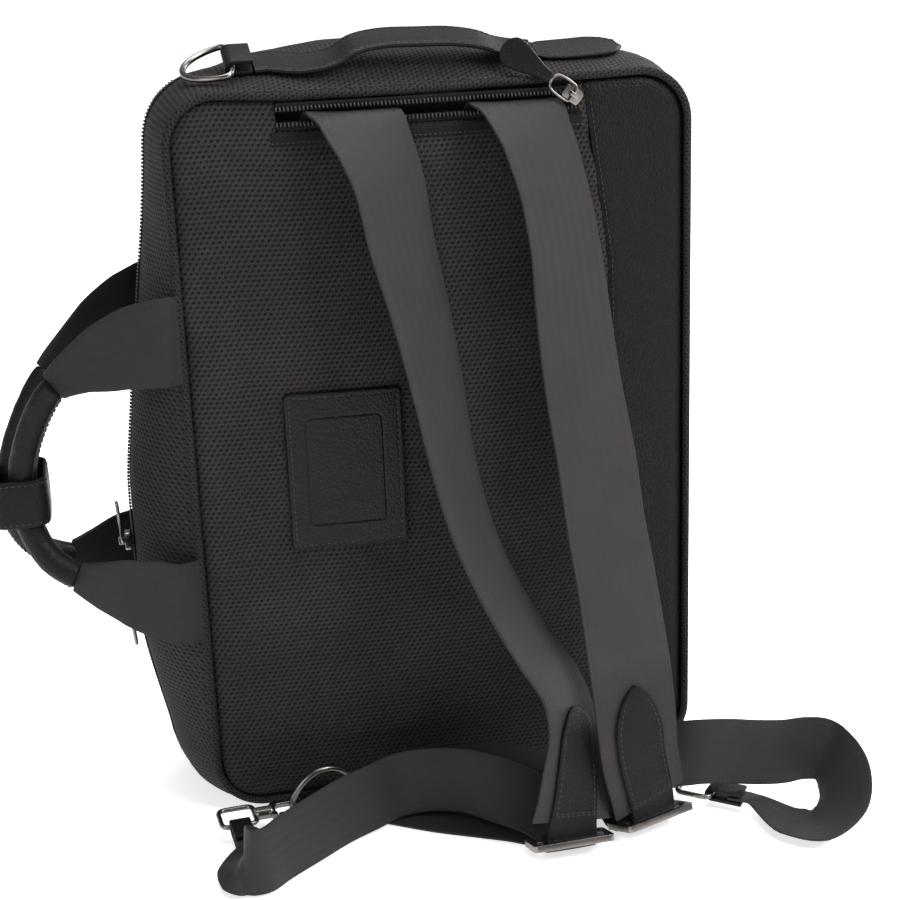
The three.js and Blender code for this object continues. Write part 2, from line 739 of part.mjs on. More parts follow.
const rightStrapTable = [
  // across, out, up, turn
  [0.29, -0.165, 0.905, 0], [0.29, -0.12, 0.94, 0], [0.3, -0.04, 0.9665, 1], [0.312, 0.045, 0.9685, 3],
  [0.332, 0.14, 0.962, 12], [0.362, 0.215, 0.933, 24], [0.414, 0.265, 0.868, 28], [0.455, 0.29, 0.786, 26],
  [0.476, 0.315, 0.704, 20], [0.503, 0.38, 0.596, 16], [0.538, 0.47, 0.495, 12], [0.552, 0.582, 0.413, 12],
  [0.572, 0.708, 0.332, 10], [0.579, 0.871, 0.257, 8], [0.579, 0.965, 0.221, 8], [0.593, 1.015, 0.149, 10],
  [0.607, 1.02, 0.099, 14], [0.63, 1.02, 0.06, 18], [0.645, 1.01, 0.034, 20],
];

// Rows of a path from a strap's table.
function strapRows(table, reach) {
  return table.map(([across, out, up, turn]) => [
    across * halfWidth,
    -halfDepth - out * reach,
    seamLift + up * bagHeight,
    turn,
    0,
    wideWebbing,
    webbingThick,
  ]);
}

const tabSteps = 22;
const tabGap = 0.75;

// Wide strap and the pointed leather tab sewn on it, which wraps the slide's middle bar.
function addWideStrap(name, table, reach, slide, tipHeight) {
  const rows = strapRows(table, reach);
  const probes = pathFrames(rows, 90);
  const isUnderTab = (frame) => frame.centre.z < tipHeight && frame.centre.y < -halfDepth - reach / 2;
  const tip = probes.findIndex(isUnderTab) / 90;
  const lower = pathFrames(rows, tabSteps, tip, 1);
  const upper = pathFrames(rows, 24, 0, tip).slice(0, -1);
  addPiece(`${name}_strap`, sweepSolid([...upper, ...lower], flatSection), strapNylon);
  const lift = -(webbingThick + tabThick) / 2 - tabGap;
  const pointed = [[0, 0.2], [0.05, 0.6], [0.1, 0.8], [0.2, 1], [1, 1]];
  const tabFrames = lower.map((frame, i) => ({
    ...frame,
    centre: frame.centre.clone().addScaledVector(frame.normal, lift),
    width: tabWidth * look(pointed, i / tabSteps),
    thick: tabThick,
  }));
  const bar = new THREE.Vector3(Math.cos(slide.turn), Math.sin(slide.turn), 0);
  tabFrames.push({
    centre: slide.centre.clone().addScaledVector(slide.away, -rollRadius + tabThick / 2)
      .add(new THREE.Vector3(0, 0, tabThick / 2)),
    across: bar,
    normal: slide.away,
    width: tabWidth,
    thick: tabThick,
  });
  const tab = sweepSolid(tabFrames, flatSection);
  const ring = new THREE.LatheGeometry([
    [rollRadius - tabThick, -tabWidth / 2], [rollRadius, -tabWidth / 2],
    [rollRadius, tabWidth / 2], [rollRadius - tabThick, tabWidth / 2], [rollRadius - tabThick, -tabWidth / 2],
  ].map(([r, h]) => new THREE.Vector2(r, h)), 12);
  ring.rotateZ(-Math.PI / 2);
  ring.rotateZ(slide.turn);
  ring.translate(slide.centre.x, slide.centre.y, slide.centre.z);
  addPiece(`${name}_tab`, fromManifold(toManifold(tab).add(toManifold(ring))), leather);
}

// Rows that take narrow webbing round a slide's far bar, from its top to its underside.
function turnRows(slide) {
  const row = (away, up) => {
    const place = slide.farBar.clone().addScaledVector(slide.away, away);
    return [place.x, place.y, place.z + up, slide.heading, 0, narrowWebbing, webbingThick];
  };
  const round = [80, 125, 180, 235, 280].map((degrees) => {
    const angle = THREE.MathUtils.degToRad(degrees);
    return row(turnRadius * Math.cos(angle), turnRadius * Math.sin(angle));
  });
  return [row(2 * turnRadius, turnRadius + webbingThick), ...round, row(2 * turnRadius, seat - turnRadius)];
}

// Rows of narrow webbing from a table: across of halfWidth, out of a reach, lift of narrowWebbing.
function webbingRows(table, reach) {
  return table.map(([across, out, lift, heading, tilt, width]) => [
    across * halfWidth,
    -halfDepth - out * reach,
    lift * narrowWebbing,
    heading,
    tilt,
    width * narrowWebbing,
    webbingThick,
  ]);
}

// Narrow webbing of the left strap: from the hook's fold, round a standing band, to the slide.
const leftBandTable = [
  // across, out, lift, heading, tilt, width
  [-0.965, 0.76, 0.32, 0, 24, 0.8], [-0.965, 0.84, 0.42, 5, 50, 1], [-0.96, 0.915, 0.52, 20, 76, 1],
  [-0.93, 0.965, 0.54, 60, 82, 1], [-0.88, 0.955, 0.54, 110, 82, 1], [-0.8, 0.84, 0.53, 127, 80, 1],
  [-0.66, 0.665, 0.52, 130, 76, 1], [-0.54, 0.53, 0.525, 125, 75, 1], [-0.42, 0.435, 0.54, 118, 75, 1],
  [-0.3, 0.355, 0.58, 108, 75, 1], [-0.17, 0.37, 0.62, 95, 76, 1], [-0.035, 0.44, 0.62, 85, 74, 1],
  [0.07, 0.54, 0.57, 72, 62, 1], [0.16, 0.64, 0.5, 50, 44, 1], [0.235, 0.74, 0.4, 14, 16, 1],
];
const leftEndTable = [
  [0.27, 0.78, 0.034, 8, 0, 1], [0.17, 0.66, 0.034, 28, 0, 1], [0.04, 0.55, 0.034, 46, 0, 1],
  [-0.12, 0.42, 0.034, 56, 0, 1], [-0.29, 0.25, 0.034, 58, 0, 1],
];
const rightBandTable = [
  [0.64, 0.72, 0.46, 34, 22, 1], [0.735, 0.7, 0.8, 60, 55, 1], [0.86, 0.77, 0.9, 85, 72, 1],
  [1, 0.83, 0.92, 92, 74, 1], [1.13, 0.84, 0.84, 95, 74, 1], [1.25, 0.82, 0.76, 90, 76, 1],
  [1.35, 0.8, 0.74, 60, 78, 1], [1.42, 0.84, 0.72, 20, 74, 1], [1.44, 0.98, 0.66, 0, 62, 1],
  [1.43, 1.165, 0.5, -30, 44, 1], [1.37, 1.32, 0.3, -55, 22, 1], [1.27, 1.375, 0.16, -90, 6, 1],
  [1.18, 1.26, 0.15, -120, 0, 0.85],
];
const rightEndTable = [
  [0.56, 0.72, 0.245, 42, 13, 1], [0.42, 0.61, 0.385, 53, 22, 1], [0.28, 0.48, 0.46, 58, 28, 1],
  [0.14, 0.38, 0.54, 64, 32, 1], [0.02, 0.31, 0.54, 76, 32, 1], [-0.1, 0.28, 0.44, 90, 30, 1],
];

// Leather fold of two legs round a wire along its own X, with the legs reaching along +Y.
function foldGeometry(width, wireRadius, leg) {
  const inner = wireRadius + seat;
  const outer = inner + leatherWall;
  const shape = new THREE.Shape();
  shape.moveTo(leg, -outer);
  shape.lineTo(0, -outer);
  shape.absarc(0, 0, outer, -Math.PI / 2, -1.5 * Math.PI, true);
  shape.lineTo(leg, outer);
  shape.lineTo(leg, inner);
  shape.lineTo(0, inner);
  shape.absarc(0, 0, inner, Math.PI / 2, 1.5 * Math.PI, false);
  shape.lineTo(leg, -inner);
  const fold = new THREE.ExtrudeGeometry(shape, { depth: width, bevelEnabled: false, curveSegments: 5 });
  fold.translate(0, 0, -width / 2);
  fold.applyMatrix4(new THREE.Matrix4().set(0, 0, 1, 0, 1, 0, 0, 0, 0, 1, 0, 0, 0, 0, 0, 1));
  return fold;
}

// D-ring with its bar along its own X and its arc reaching along -Y.
function ringGeometry() {
  const radius = ringBar / 2 + ringWire / 2;
  const path = [new THREE.Vector3(-radius + ringWire, 0, 0), new THREE.Vector3(radius - ringWire, 0, 0)];
  for (let k = 0; k <= 11; k += 1) {
    const angle = 0.12 + ((Math.PI - 0.24) * k) / 11;
    path.push(new THREE.Vector3(radius * Math.cos(angle), -ringDepth * Math.sin(angle), 0));
  }
  return ringTube(path, new THREE.Vector3(0, 0, 1), ringWire / 2, 6);
}

// Point of a D-ring's arc in its own frame.
function arcPoint(degrees) {
  const angle = THREE.MathUtils.degToRad(degrees);
  return new THREE.Vector3((ringBar / 2 + ringWire / 2) * Math.cos(angle), -ringDepth * Math.sin(angle), 0);
}

// Body of a snap hook lying along its own X, eye at the origin, with its opening on the +Z side,
// or on the -Y side where the loop has swivelled flat.
const eyeRadius = (eyeInside + hookWire) / 2;
const bodyStart = eyeRadius + hookWire / 2 + barrelLength;
const bodyHeight = hookInside + 2 * hookWire;
const bodyLength = hookLength + 2 * hookWire;
const gateStart = bodyStart + hookCorner;

function hookGeometry(swivel) {
  const square = roundedShape(2 * eyeRadius, 2 * eyeRadius, (2 * eyeRadius - foldWidth) / 2 - seat).getPoints(2);
  const loopPath = square.slice(0, -1).map((p) => new THREE.Vector3(p.x, p.y, 0));
  const eye = ringTube(loopPath, new THREE.Vector3(0, 0, 1), hookWire / 2, 6);
  const barrel = new THREE.CylinderGeometry(barrelRadius, barrelRadius, barrelLength + hookWire, 8);
  barrel.rotateZ(Math.PI / 2);
  barrel.translate(eyeRadius + (barrelLength + hookWire) / 2, 0, 0);
  const loop = roundedShape(bodyLength, bodyHeight, hookCorner);
  const hole = roundedShape(hookLength, hookInside, hookCorner - hookWire / 2).getPoints(2);
  loop.holes.push(new THREE.Path(hole.reverse()));
  const body = new THREE.ExtrudeGeometry(loop, { depth: hookWire, bevelEnabled: false, curveSegments: 2 });
  body.translate(bodyLength / 2, 0, -hookWire / 2);
  body.rotateX(Math.PI / 2);
  body.translate(bodyStart, 0, 0);
  const gap = new THREE.BoxGeometry(gateLength + 2 * seat, 2 * hookWire, 2 * (hookWire + gateThick));
  gap.translate(gateStart + gateLength / 2, 0, bodyHeight / 2);
  const loopPart = fromManifold(toManifold(body).subtract(toManifold(gap)));
  loopPart.rotateX(swivel);
  return fromManifold(toManifold(loopPart).add(toManifold(barrel)).add(toManifold(eye)));
}

// Gate of a snap hook, hinged at its own origin and reaching along +X.
function gateGeometry() {
  const gate = new THREE.ExtrudeGeometry(roundedShape(gateLength, gateThick, gateThick / 2 - 0.1), {
    depth: hookWire, bevelEnabled: false, curveSegments: 2,
  });
  gate.translate(gateLength / 2 - gateThick / 2, 0, -hookWire / 2);
  gate.rotateX(Math.PI / 2);
  return gate;
}

// D-ring in its keeper at the bag's foot, the snap hook on it, the fold on the hook and the webbing.
function addCorner(name, ringX, leg, yaw, lean, arcAngle, hookHeading, foldSide, edgeHeading, band, bandRows) {
  const ringZ = ringWire / 2 + leatherWall + 2 * seat + seamLift / 4;
  const anchor = new THREE.Group();
  anchor.position.set(ringX, -halfDepth - pipingRadius - seat - leg, ringZ);
  anchor.rotation.z = THREE.MathUtils.degToRad(yaw);
  bag.add(anchor);
  const reach = leg - (keeperWidth / 2) * Math.abs(Math.sin(anchor.rotation.z));
  addPiece(`${name}_keeper`, foldGeometry(keeperWidth, ringWire / 2, reach), leather, anchor);
  const ring = addPiece(`${name}_ring`, ringGeometry(), gunmetal, anchor);
  ring.rotation.x = -THREE.MathUtils.degToRad(lean);
  bag.updateMatrixWorld(true);
  const wire = ring.localToWorld(arcPoint(arcAngle));
  const heading = THREE.MathUtils.degToRad(hookHeading);
  const along = new THREE.Vector3(Math.cos(heading), Math.sin(heading), 0);
  const reachToWire = bodyStart + hookWire + hookLength - ringWire;
  const hook = new THREE.Group();
  hook.position.copy(wire).addScaledVector(along, -reachToWire);
  const swivel = lean > 45 ? Math.PI / 2 : 0;
  hook.position.z = swivel ? ringZ + (ringWire + hookWire) / 2 + seat : bodyHeight / 2 + seat;
  hook.rotation.z = heading;
  bag.add(hook);
  addPiece(`${name}_hook`, hookGeometry(swivel), gunmetal, hook);
  const gate = addPiece(`${name}_gate`, gateGeometry(), gunmetal, hook);
  const gateRise = bodyHeight / 2 - hookWire / 2;
  gate.position.set(gateStart + gateThick / 2, -gateRise * Math.sin(swivel), gateRise * Math.cos(swivel));
  gate.rotation.x = swivel;
  const fold = new THREE.Group();
  const away = heading + THREE.MathUtils.degToRad(foldSide);
  const out = new THREE.Vector3(Math.cos(away), Math.sin(away), 0);
  fold.position.copy(hook.position).addScaledVector(out, eyeRadius);
  fold.rotation.z = away - Math.PI / 2;
  bag.add(fold);
  addPiece(`${name}_fold`, foldGeometry(foldWidth, hookWire / 2, foldLeg), leather, fold);
  const start = fold.position.clone().addScaledVector(out, foldLeg - foldOverlap);
  const lower = hookWire / 2 - webbingThick / 2 - seat;
  const inFold = [0, foldOverlap + 6].map((step) => [
    start.x + out.x * step,
    start.y + out.y * step,
    start.z - lower,
    edgeHeading,
    0,
    foldWidth,
    webbingThick,
  ]);
  const rows = bandRows(inFold);
  addPiece(band, sweepSolid(pathFrames(rows, 2 * rows.length), flatSection), strapNylon);
}

// Both lower corners with their bands.
function addCorners() {
  addCorner('left', leftRingX, leftKeeperLeg, 14, leftRingLean, 172, 4, -90, -4, 'left_band', (inFold) => [
    ...inFold,
    ...webbingRows(leftBandTable, leftReach),
    ...turnRows(leftSlide),
    ...webbingRows(leftEndTable, leftReach),
  ]);
  addCorner('right', rightRingX, rightKeeperLeg, -8, rightRingLean, 40, 140, 180, -125, 'right_band', (inFold) => [
    ...inFold,
    ...webbingRows(rightBandTable, rightReach).reverse(),
    ...turnRows(rightSlide),
    ...webbingRows(rightEndTable, rightReach),
  ]);
}

// Carry handle from its lower foot to its upper one. Out is a share of handleReach, side of
// halfDepth, up of handleSpan; width and thickness are of the webbing's or the grip's.
const handleTable = [
  // out, side, up, width, thickness
  [0.035, 1.1, 0, 1, 1], [0.14, 1.07, 0, 1, 1], [0.27, 0.96, 0.012, 0.97, 1], [0.45, 0.8, 0.035, 0.82, 1.2],
  [0.6, 0.62, 0.05, 0.6, 1.8], [0.72, 0.48, 0.075, 0.4, 3], [0.87, 0.36, 0.14, 0.3, 4], [0.97, 0.27, 0.26, 0.3, 4],
  [1, 0.24, 0.38, 0.3, 4], [0.975, 0.26, 0.53, 0.3, 4], [0.88, 0.34, 0.69, 0.3, 4], [0.75, 0.46, 0.82, 0.36, 3],
  [0.61, 0.6, 0.885, 0.54, 1.8], [0.46, 0.78, 0.935, 0.76, 1.2], [0.27, 0.95, 0.98, 0.93, 1], [0.14, 1.07, 1, 1, 1],
  [0.035, 1.1, 1, 1, 1],
];
const gripFrom = 0.315;
const gripTo = 0.69;
const gripGap = 0.0012;

// One carry handle: two webbing feet and a padded leather grip. The far one lies a little lower.
function addHandle(name, side, drift) {
  const rows = handleTable.map(([out, depth, up, width, thick]) => [
    -halfWidth - out * handleReach - drift * out * out,
    side * depth * halfDepth,
    handleFoot + up * handleSpan - drift * out * out,
    90,
    90,
    width * handleWebbing,
    thick * webbingThick,
  ]);
  const gripFrames = pathFrames(rows, 12, gripFrom, gripTo);
  const grip = gripFrames.map((frame) => ({ ...frame, width: gripWidth, thick: gripDepth }));
  addPiece(`${name}_grip`, sweepSolid(grip, ovalSection), leather);
  const lowFrames = pathFrames(rows, 12, 0, gripFrom - gripGap);
  const highFrames = pathFrames(rows, 12, gripTo + gripGap, 1);
  addPiece(`${name}_foot_low`, sweepSolid(lowFrames, flatSection), strapNylon);
  addPiece(`${name}_foot_high`, sweepSolid(highFrames, flatSection), strapNylon);
}

// Leather wrap that holds the two grips together.
function addWrap() {
  const insideX = gripWidth + farDrift + 5;
  const insideY = 2 * (handleTable[8][1] * halfDepth + gripDepth / 2) + 8 * seat;
  const outer = roundedShape(insideX + 2 * leatherWall, insideY + 2 * leatherWall, gripWidth / 2);
  outer.holes.push(new THREE.Path(roundedShape(insideX, insideY, gripWidth / 2 - leatherWall).getPoints(4).reverse()));
  const geometry = new THREE.ExtrudeGeometry(outer, { depth: wrapHeight, bevelEnabled: false, curveSegments: 4 });
  const piece = addPiece('handle_wrap', geometry, leather);
  piece.position.set(1.5 - halfWidth - handleReach - farDrift / 2, 0, handleFoot + 0.38 * handleSpan - wrapHeight / 2);
}

// Height at yMid of a plane that leans by topHandleTilt and just clears the gusset's top face.
function topRest(xFrom, xTo, yMid, half) {
  const lean = Math.tan(THREE.MathUtils.degToRad(topHandleTilt));
  let rest = -Infinity;
  for (let i = 0; i <= 4; i += 1) {
    for (let k = -2; k <= 2; k += 1) {
      const x = xFrom + ((xTo - xFrom) * i) / 4;
      const y = yMid + (half * k) / 2;
      rest = Math.max(rest, topFace(x, y) - (y - yMid) * lean);
    }
  }
  return rest + seat;
}

// D-ring at the top's left end, held in a leather keeper.
function addTopRing() {
  const fold = new THREE.Group();
  const x = topRingX * halfWidth;
  const y = topRingY * halfDepth;
  const outer = ringWire / 2 + seat + leatherWall;
  fold.position.set(x, y, topRest(x - outer, x + topKeeperLeg, y, keeperWidth / 2) + outer);
  fold.rotation.set(THREE.MathUtils.degToRad(topHandleTilt), 0, -Math.PI / 2, 'XYZ');
  bag.add(fold);
  addPiece('top_keeper', foldGeometry(keeperWidth, ringWire / 2, topKeeperLeg), leather, fold);
  const ring = addPiece('top_ring', ringGeometry(), gunmetal, fold);
  ring.rotation.x = THREE.MathUtils.degToRad(topRingDroop);
}

// Leather top handle: along of its own span, out of halfDepth and rise of topHandleRise.
const topHandleTable = [
  // along, depth, rise
  [0, -0.42, 0], [0.06, -0.42, 0], [0.17, -0.55, 0.02], [0.27, -0.6, 0.25], [0.35, -0.58, 0.78], [0.45, -0.56, 1],
  [0.58, -0.56, 1], [0.7, -0.56, 0.95], [0.8, -0.56, 0.72], [0.87, -0.53, 0.34], [0.94, -0.46, 0.06], [1, -0.46, 0],
];

function addTopHandle() {
  const from = topRingX * halfWidth + topKeeperLeg + 2 * seat;
  const rows = topHandleTable.map(([along, depth, rise]) => {
    const x = from + along * topHandleLength;
    const y = depth * halfDepth;
    const rest = topRest(x - 4, x + 4, y, topHandleWidth / 2);
    return [x, y, rest + rise * topHandleRise + topHandleThick / 2 + seat, 90, topHandleTilt, topHandleWidth, topHandleThick];
  });
  addPiece('top_handle', sweepSolid(pathFrames(rows, 20), flatSection), leather);
  const patchFrom = from + topHandleLength + 2 * seat;
  const patchTable = [[0, 0.7], [0.1, 0.92], [0.3, 1], [0.7, 1], [0.88, 0.8], [1, 0.4]];
  const patchRows = patchTable.map(([along, width]) => {
    const x = patchFrom + along * endPatchLength;
    const y = topHandleTable[topHandleTable.length - 1][1] * halfDepth + along * along * endPatchDrift;
    const rest = topRest(x - 5, x + 5, y, topHandleWidth / 2);
    return [x, y, rest + leatherWall / 2 + seat, 90, topHandleTilt, width * topHandleWidth, leatherWall];
  });
  addPiece('top_handle_patch', sweepSolid(pathFrames(patchRows, 8), flatSection), leather);
}

// Leather patch sewn on the near panel.
function addPatch() {
  const columns = 3;
  const rows = 4;
  const grid = (lift) => {
    const list = [];
    for (let i = 0; i <= rows; i += 1) {
      const line = [];
      for (let k = 0; k <= columns; k += 1) {
        const x = patchX - patchWidth / 2 + (patchWidth * k) / columns;
        const z = patchZ - patchHeight / 2 + (patchHeight * i) / rows;
        line.push(new THREE.Vector3(x, nearFace(x, z) - seat - lift, z));
      }
      list.push(line);
    }
    return list;
  };
  addPiece('patch', sheetSolid(grid(patchThick), grid(0)), leather);
}

addGussets();
addPiece('piping_near', pipingGeometry(-halfDepth, 1), nylon);
addPiece('piping_far', pipingGeometry(halfDepth, 0), nylon);
addNearPanel();
addFarPanel();
addPocketWall();
addMainZip();
addMainSlider('main_high', mainHighZ, -0.06);
addMainSlider('main_low', mainLowZ, Math.PI - 0.1);
addPocketZip();
addPocketSlider();
addWideStrap('left', leftStrapTable, leftReach, leftSlide, leftTipHeight);
addWideStrap('right', rightStrapTable, rightReach, rightSlide, rightTipHeight);
addSlide('left_slide', leftSlide);
addSlide('right_slide', rightSlide);
addCorners();
addHandle('near', -1, 0);
addHandle('far', 1, farDrift);
addWrap();
addTopRing();
addTopHandle();
addPatch();

export default bag;
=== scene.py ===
"""Looks of a convertible backpack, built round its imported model."""
import math

import bmesh
import bpy
import numpy as np
from mathutils import Matrix, Vector, noise


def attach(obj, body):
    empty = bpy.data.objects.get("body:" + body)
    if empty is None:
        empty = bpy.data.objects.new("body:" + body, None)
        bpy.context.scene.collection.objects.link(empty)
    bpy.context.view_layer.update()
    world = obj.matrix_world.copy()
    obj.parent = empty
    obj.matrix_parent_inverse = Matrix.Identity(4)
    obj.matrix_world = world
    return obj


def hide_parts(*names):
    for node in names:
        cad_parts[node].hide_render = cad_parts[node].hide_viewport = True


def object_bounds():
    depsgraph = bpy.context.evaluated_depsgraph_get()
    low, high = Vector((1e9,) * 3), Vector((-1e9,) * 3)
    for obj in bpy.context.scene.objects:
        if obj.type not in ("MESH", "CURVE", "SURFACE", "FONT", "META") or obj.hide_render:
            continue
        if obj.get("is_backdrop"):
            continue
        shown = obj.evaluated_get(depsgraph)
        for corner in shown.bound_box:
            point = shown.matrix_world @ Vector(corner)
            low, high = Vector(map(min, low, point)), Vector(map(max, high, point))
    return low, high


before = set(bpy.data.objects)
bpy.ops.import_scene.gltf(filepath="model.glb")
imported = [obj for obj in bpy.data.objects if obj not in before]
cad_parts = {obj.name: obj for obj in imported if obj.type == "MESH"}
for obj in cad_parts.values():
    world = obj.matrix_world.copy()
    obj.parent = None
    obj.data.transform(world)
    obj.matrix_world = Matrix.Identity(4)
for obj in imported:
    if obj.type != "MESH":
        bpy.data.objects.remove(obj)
CAD_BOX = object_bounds()

bl_info = {
    "name": "Convertible backpack",
    "version": (1, 0, 0),
    "blender": (4, 5, 0),
    "location": "View3D > Sidebar > Backpack",
    "description": "Cloth, leather, webbing, fittings and stitching of a convertible backpack",
    "category": "Add Mesh",
}

MM = 0.001
TAU = 2 * math.pi

# Bag body, in millimetres
WIDTH, HEIGHT, DEPTH = 290.0, 416.0, 105.0
SEAM_LIFT, SEAM_CORNER, BULGE, DOME = 5.0, 28.0, 35.0, 8.0
PATCH_AT, PATCH_SIZE, PATCH_THICK = (-59.5, 210.5), (66.0, 92.0), 1.8
NEAR_SAG, FAR_RISE, BASE_BAND, SEAT = 3.0, 15.0, 48.0, 0.3
PIPING = 2.2
PAD = 5.0
ZIP_SLOT = 12.6
MOUTH_WIDTH, MOUTH_HEIGHT, MOUTH_OFFSET = 168.0, 15.0, -2.0
HALF_WIDTH, HALF_DEPTH = WIDTH / 2, DEPTH / 2
SEAM_TOP = SEAM_LIFT + HEIGHT
RIM_INSET = PIPING + SEAT
TUCK = 0.9  # how far panels and gusset run in under the piping
RIM_FRONT = -HALF_DEPTH - 1
MOUTH_TOP = SEAM_TOP - RIM_INSET - NEAR_SAG
MOUTH_LOW = MOUTH_TOP - MOUTH_HEIGHT

# Webbing, tabs and slides
WIDE, NARROW, WEB_THICK = 50.0, 38.0, 1.8
LEFT_REACH, RIGHT_REACH = 99.0, 86.0
TAB_WIDTH, TAB_THICK, TAB_GAP = 30.0, 2.2, 0.75
SLIDE_HEIGHT, SLIDE_BAR, SLIDE_TILT = 24.0, 3.6, 19.0
BAR_PITCH = (SLIDE_HEIGHT - SLIDE_BAR) / 2
BAR_CORNER = SLIDE_BAR * math.sqrt(0.5)
ROLL_RADIUS = BAR_CORNER + SEAT + TAB_THICK
TURN_RADIUS = BAR_CORNER + SEAT + WEB_THICK / 2

BULGES = {
    "bottom": [(0, 0.4), (1, 0.4)],
    "left": [(0, 0.6), (0.12, 0.86), (0.2, 1), (0.46, 1), (0.65, 0.74), (0.77, 0.55), (0.89, 0.37),
             (1, 0.25)],
    "top": [(0, 0.22), (0.12, 0.34), (0.3, 0.36), (0.7, 0.34), (0.9, 0.26), (1, 0.2)],
    "right": [(0, 0.22), (0.3, 0.42), (0.7, 0.42), (1, 0.35)],
}
SAG = [(0, 0), (0.15, 0.8), (0.35, 1), (0.7, 0.6), (1, 0)]
RISE = [(0, 0), (0.12, 0.55), (0.3, 1), (0.6, 0.8), (0.85, 0.3), (1, 0)]
BAND = [(0, 0.94), (0.5, 1), (0.75, 1), (1, 1.27)]


def look(rows, share):
    """Value of a table of (share, value) rows at a share, in straight steps."""
    return float(np.interp(share, [row[0] for row in rows], [row[1] for row in rows]))


def ease(rows, share):
    """The same value, smoothed over the rows' corners."""
    spread = 0.04
    picks = [share + spread * k / 2 for k in (-2, -1, 0, 1, 2)]
    return sum(look(rows, p) * w for p, w in zip(picks, (1, 2, 3, 2, 1))) / 9


def station(x, z, angle, bulge, near=0.0, far=0.0):
    return (x, z, math.cos(angle), math.sin(angle), BULGE * bulge, near, far)


def seam_stations(steps, corner_steps):
    """The bag's seam outline, clockwise from the bottom's right end, and the index where each part starts."""
    reach = HALF_WIDTH - SEAM_CORNER
    low, high = SEAM_LIFT + SEAM_CORNER, SEAM_TOP - SEAM_CORNER
    rows, marks = [], {}

    def corner(name, x, z, start, first, last):
        marks[name] = len(rows)
        for k in range(1, corner_steps):
            t = k / corner_steps
            angle = start - math.pi / 2 * t
            across, up = x + SEAM_CORNER * math.cos(angle), z + SEAM_CORNER * math.sin(angle)
            rows.append(station(across, up, angle, first + (last - first) * t))

    def side(name, place):
        marks[name] = len(rows)
        for k in range(steps[name] + 1):
            t = k / steps[name]
            rows.append(place(t, ease(BULGES[name], t)))

    side("bottom", lambda t, b: station(reach - 2 * reach * t, SEAM_LIFT, -math.pi / 2, b))
    corner("bottom_left", -reach, low, -math.pi / 2, 0.4, 0.6)
    side("left", lambda t, b: station(-HALF_WIDTH, low + (high - low) * t, math.pi, b))
    corner("top_left", -reach, high, math.pi, 0.25, 0.22)
    side("top", lambda t, b: station(
        -reach + 2 * reach * t, SEAM_TOP, math.pi / 2, b, -NEAR_SAG * ease(SAG, t), FAR_RISE * ease(RISE, t)))
    corner("top_right", reach, high, math.pi / 2, 0.2, 0.22)
    side("right", lambda t, b: station(HALF_WIDTH, high - (high - low) * t, 0, b))
    corner("bottom_right", reach, low, 0, 0.35, 0.4)
    return rows, marks


def away_from(row):
    """Direction out of the gusset at a station."""
    return Vector((row[2], 0, row[3]))


def gusset_point(place, y, inward=0.0):
    x, z, nx, nz, bulge, near, far = place
    share = y / HALF_DEPTH
    slope = -2 * bulge * share / HALF_DEPTH
    norm = math.hypot(1, slope)
    out = bulge * (1 - share * share) - inward / norm
    lean = (1 - share) / 2
    up = z + near * lean + far * (1 - lean) + nz * out
    return Vector((x + nx * out, y + inward * slope / norm, max(up, inward, 0.0)))


def top_share(x):
    """Share of the top seam's straight part that lies left of x."""
    reach = HALF_WIDTH - SEAM_CORNER
    return min(max((x + reach) / (2 * reach), 0), 1)


def top_face(x, y):
    t = top_share(x)
    near, far = -NEAR_SAG * look(SAG, t), FAR_RISE * look(RISE, t)
    return gusset_point(station(x, SEAM_TOP, math.pi / 2, look(BULGES["top"], t), near, far), y).z


def band_edge(z):
    return HALF_WIDTH - BASE_BAND * look(BAND, (z - SEAM_LIFT) / HEIGHT)


def side_edge(z):
    radius = SEAM_CORNER - RIM_INSET + TUCK
    over = max(SEAM_LIFT + SEAM_CORNER - z, z - SEAM_TOP + SEAM_CORNER, 0)
    return HALF_WIDTH - SEAM_CORNER + math.sqrt(max(radius * radius - over * over, 0))


def rim_distance(x, z):
    """Distance from a place on a panel to its rim."""
    radius = SEAM_CORNER - RIM_INSET
    ax = abs(x) - (HALF_WIDTH - RIM_INSET - radius)
    az = abs(z - SEAM_LIFT - HEIGHT / 2) - (HEIGHT / 2 - RIM_INSET - radius)
    outside = math.hypot(max(ax, 0), max(az, 0)) + min(max(ax, az), 0)
    return radius - outside


def dome_share(x, z):
    across, up = x / HALF_WIDTH, (z - SEAM_LIFT - HEIGHT / 2) / (HEIGHT / 2)
    return max(1 - across * across, 0) * max(1 - up * up, 0)


def near_face(x, z):
    return RIM_FRONT - DOME * dome_share(x, z)


def seam_shift(x, z, size, shares):
    """How far a panel is drawn up or down with its top seam."""
    return size * ease(shares, top_share(x)) * ((z - SEAM_LIFT) / HEIGHT) ** 4


# Meshes

def new_object(name, mesh):
    obj = bpy.data.objects.new(name, mesh)
    bpy.context.scene.collection.objects.link(obj)
    return obj


def outward(points, faces):
    """The faces, all turned round if they point into the solid."""
    volume = 0.0
    for face in faces:
        a = points[face[0]]
        for b, c in zip(face[1:-1], face[2:]):
            volume += a.dot(points[b].cross(points[c]))
    return faces if volume > 0 else [tuple(reversed(face)) for face in faces]


def solid(name, points, faces, uvs=None, sharp=40):
    """Closed piece from points in millimetres, with its pattern coordinates in metres."""
    faces = outward(points, faces)
    mesh = bpy.data.meshes.new(name)
    mesh.from_pydata([tuple(p * MM) for p in points], [], faces)
    if uvs is not None:
        layer = mesh.uv_layers.new(name="UVMap")
        corner = np.empty(len(mesh.loops), dtype=np.int32)
        mesh.loops.foreach_get("vertex_index", corner)
        layer.data.foreach_set("uv", (np.array(uvs, dtype=np.float32)[corner] * MM).ravel())
    mesh.shade_smooth()
    mesh.set_sharp_from_angle(angle=math.radians(sharp))
    return new_object(name, mesh)


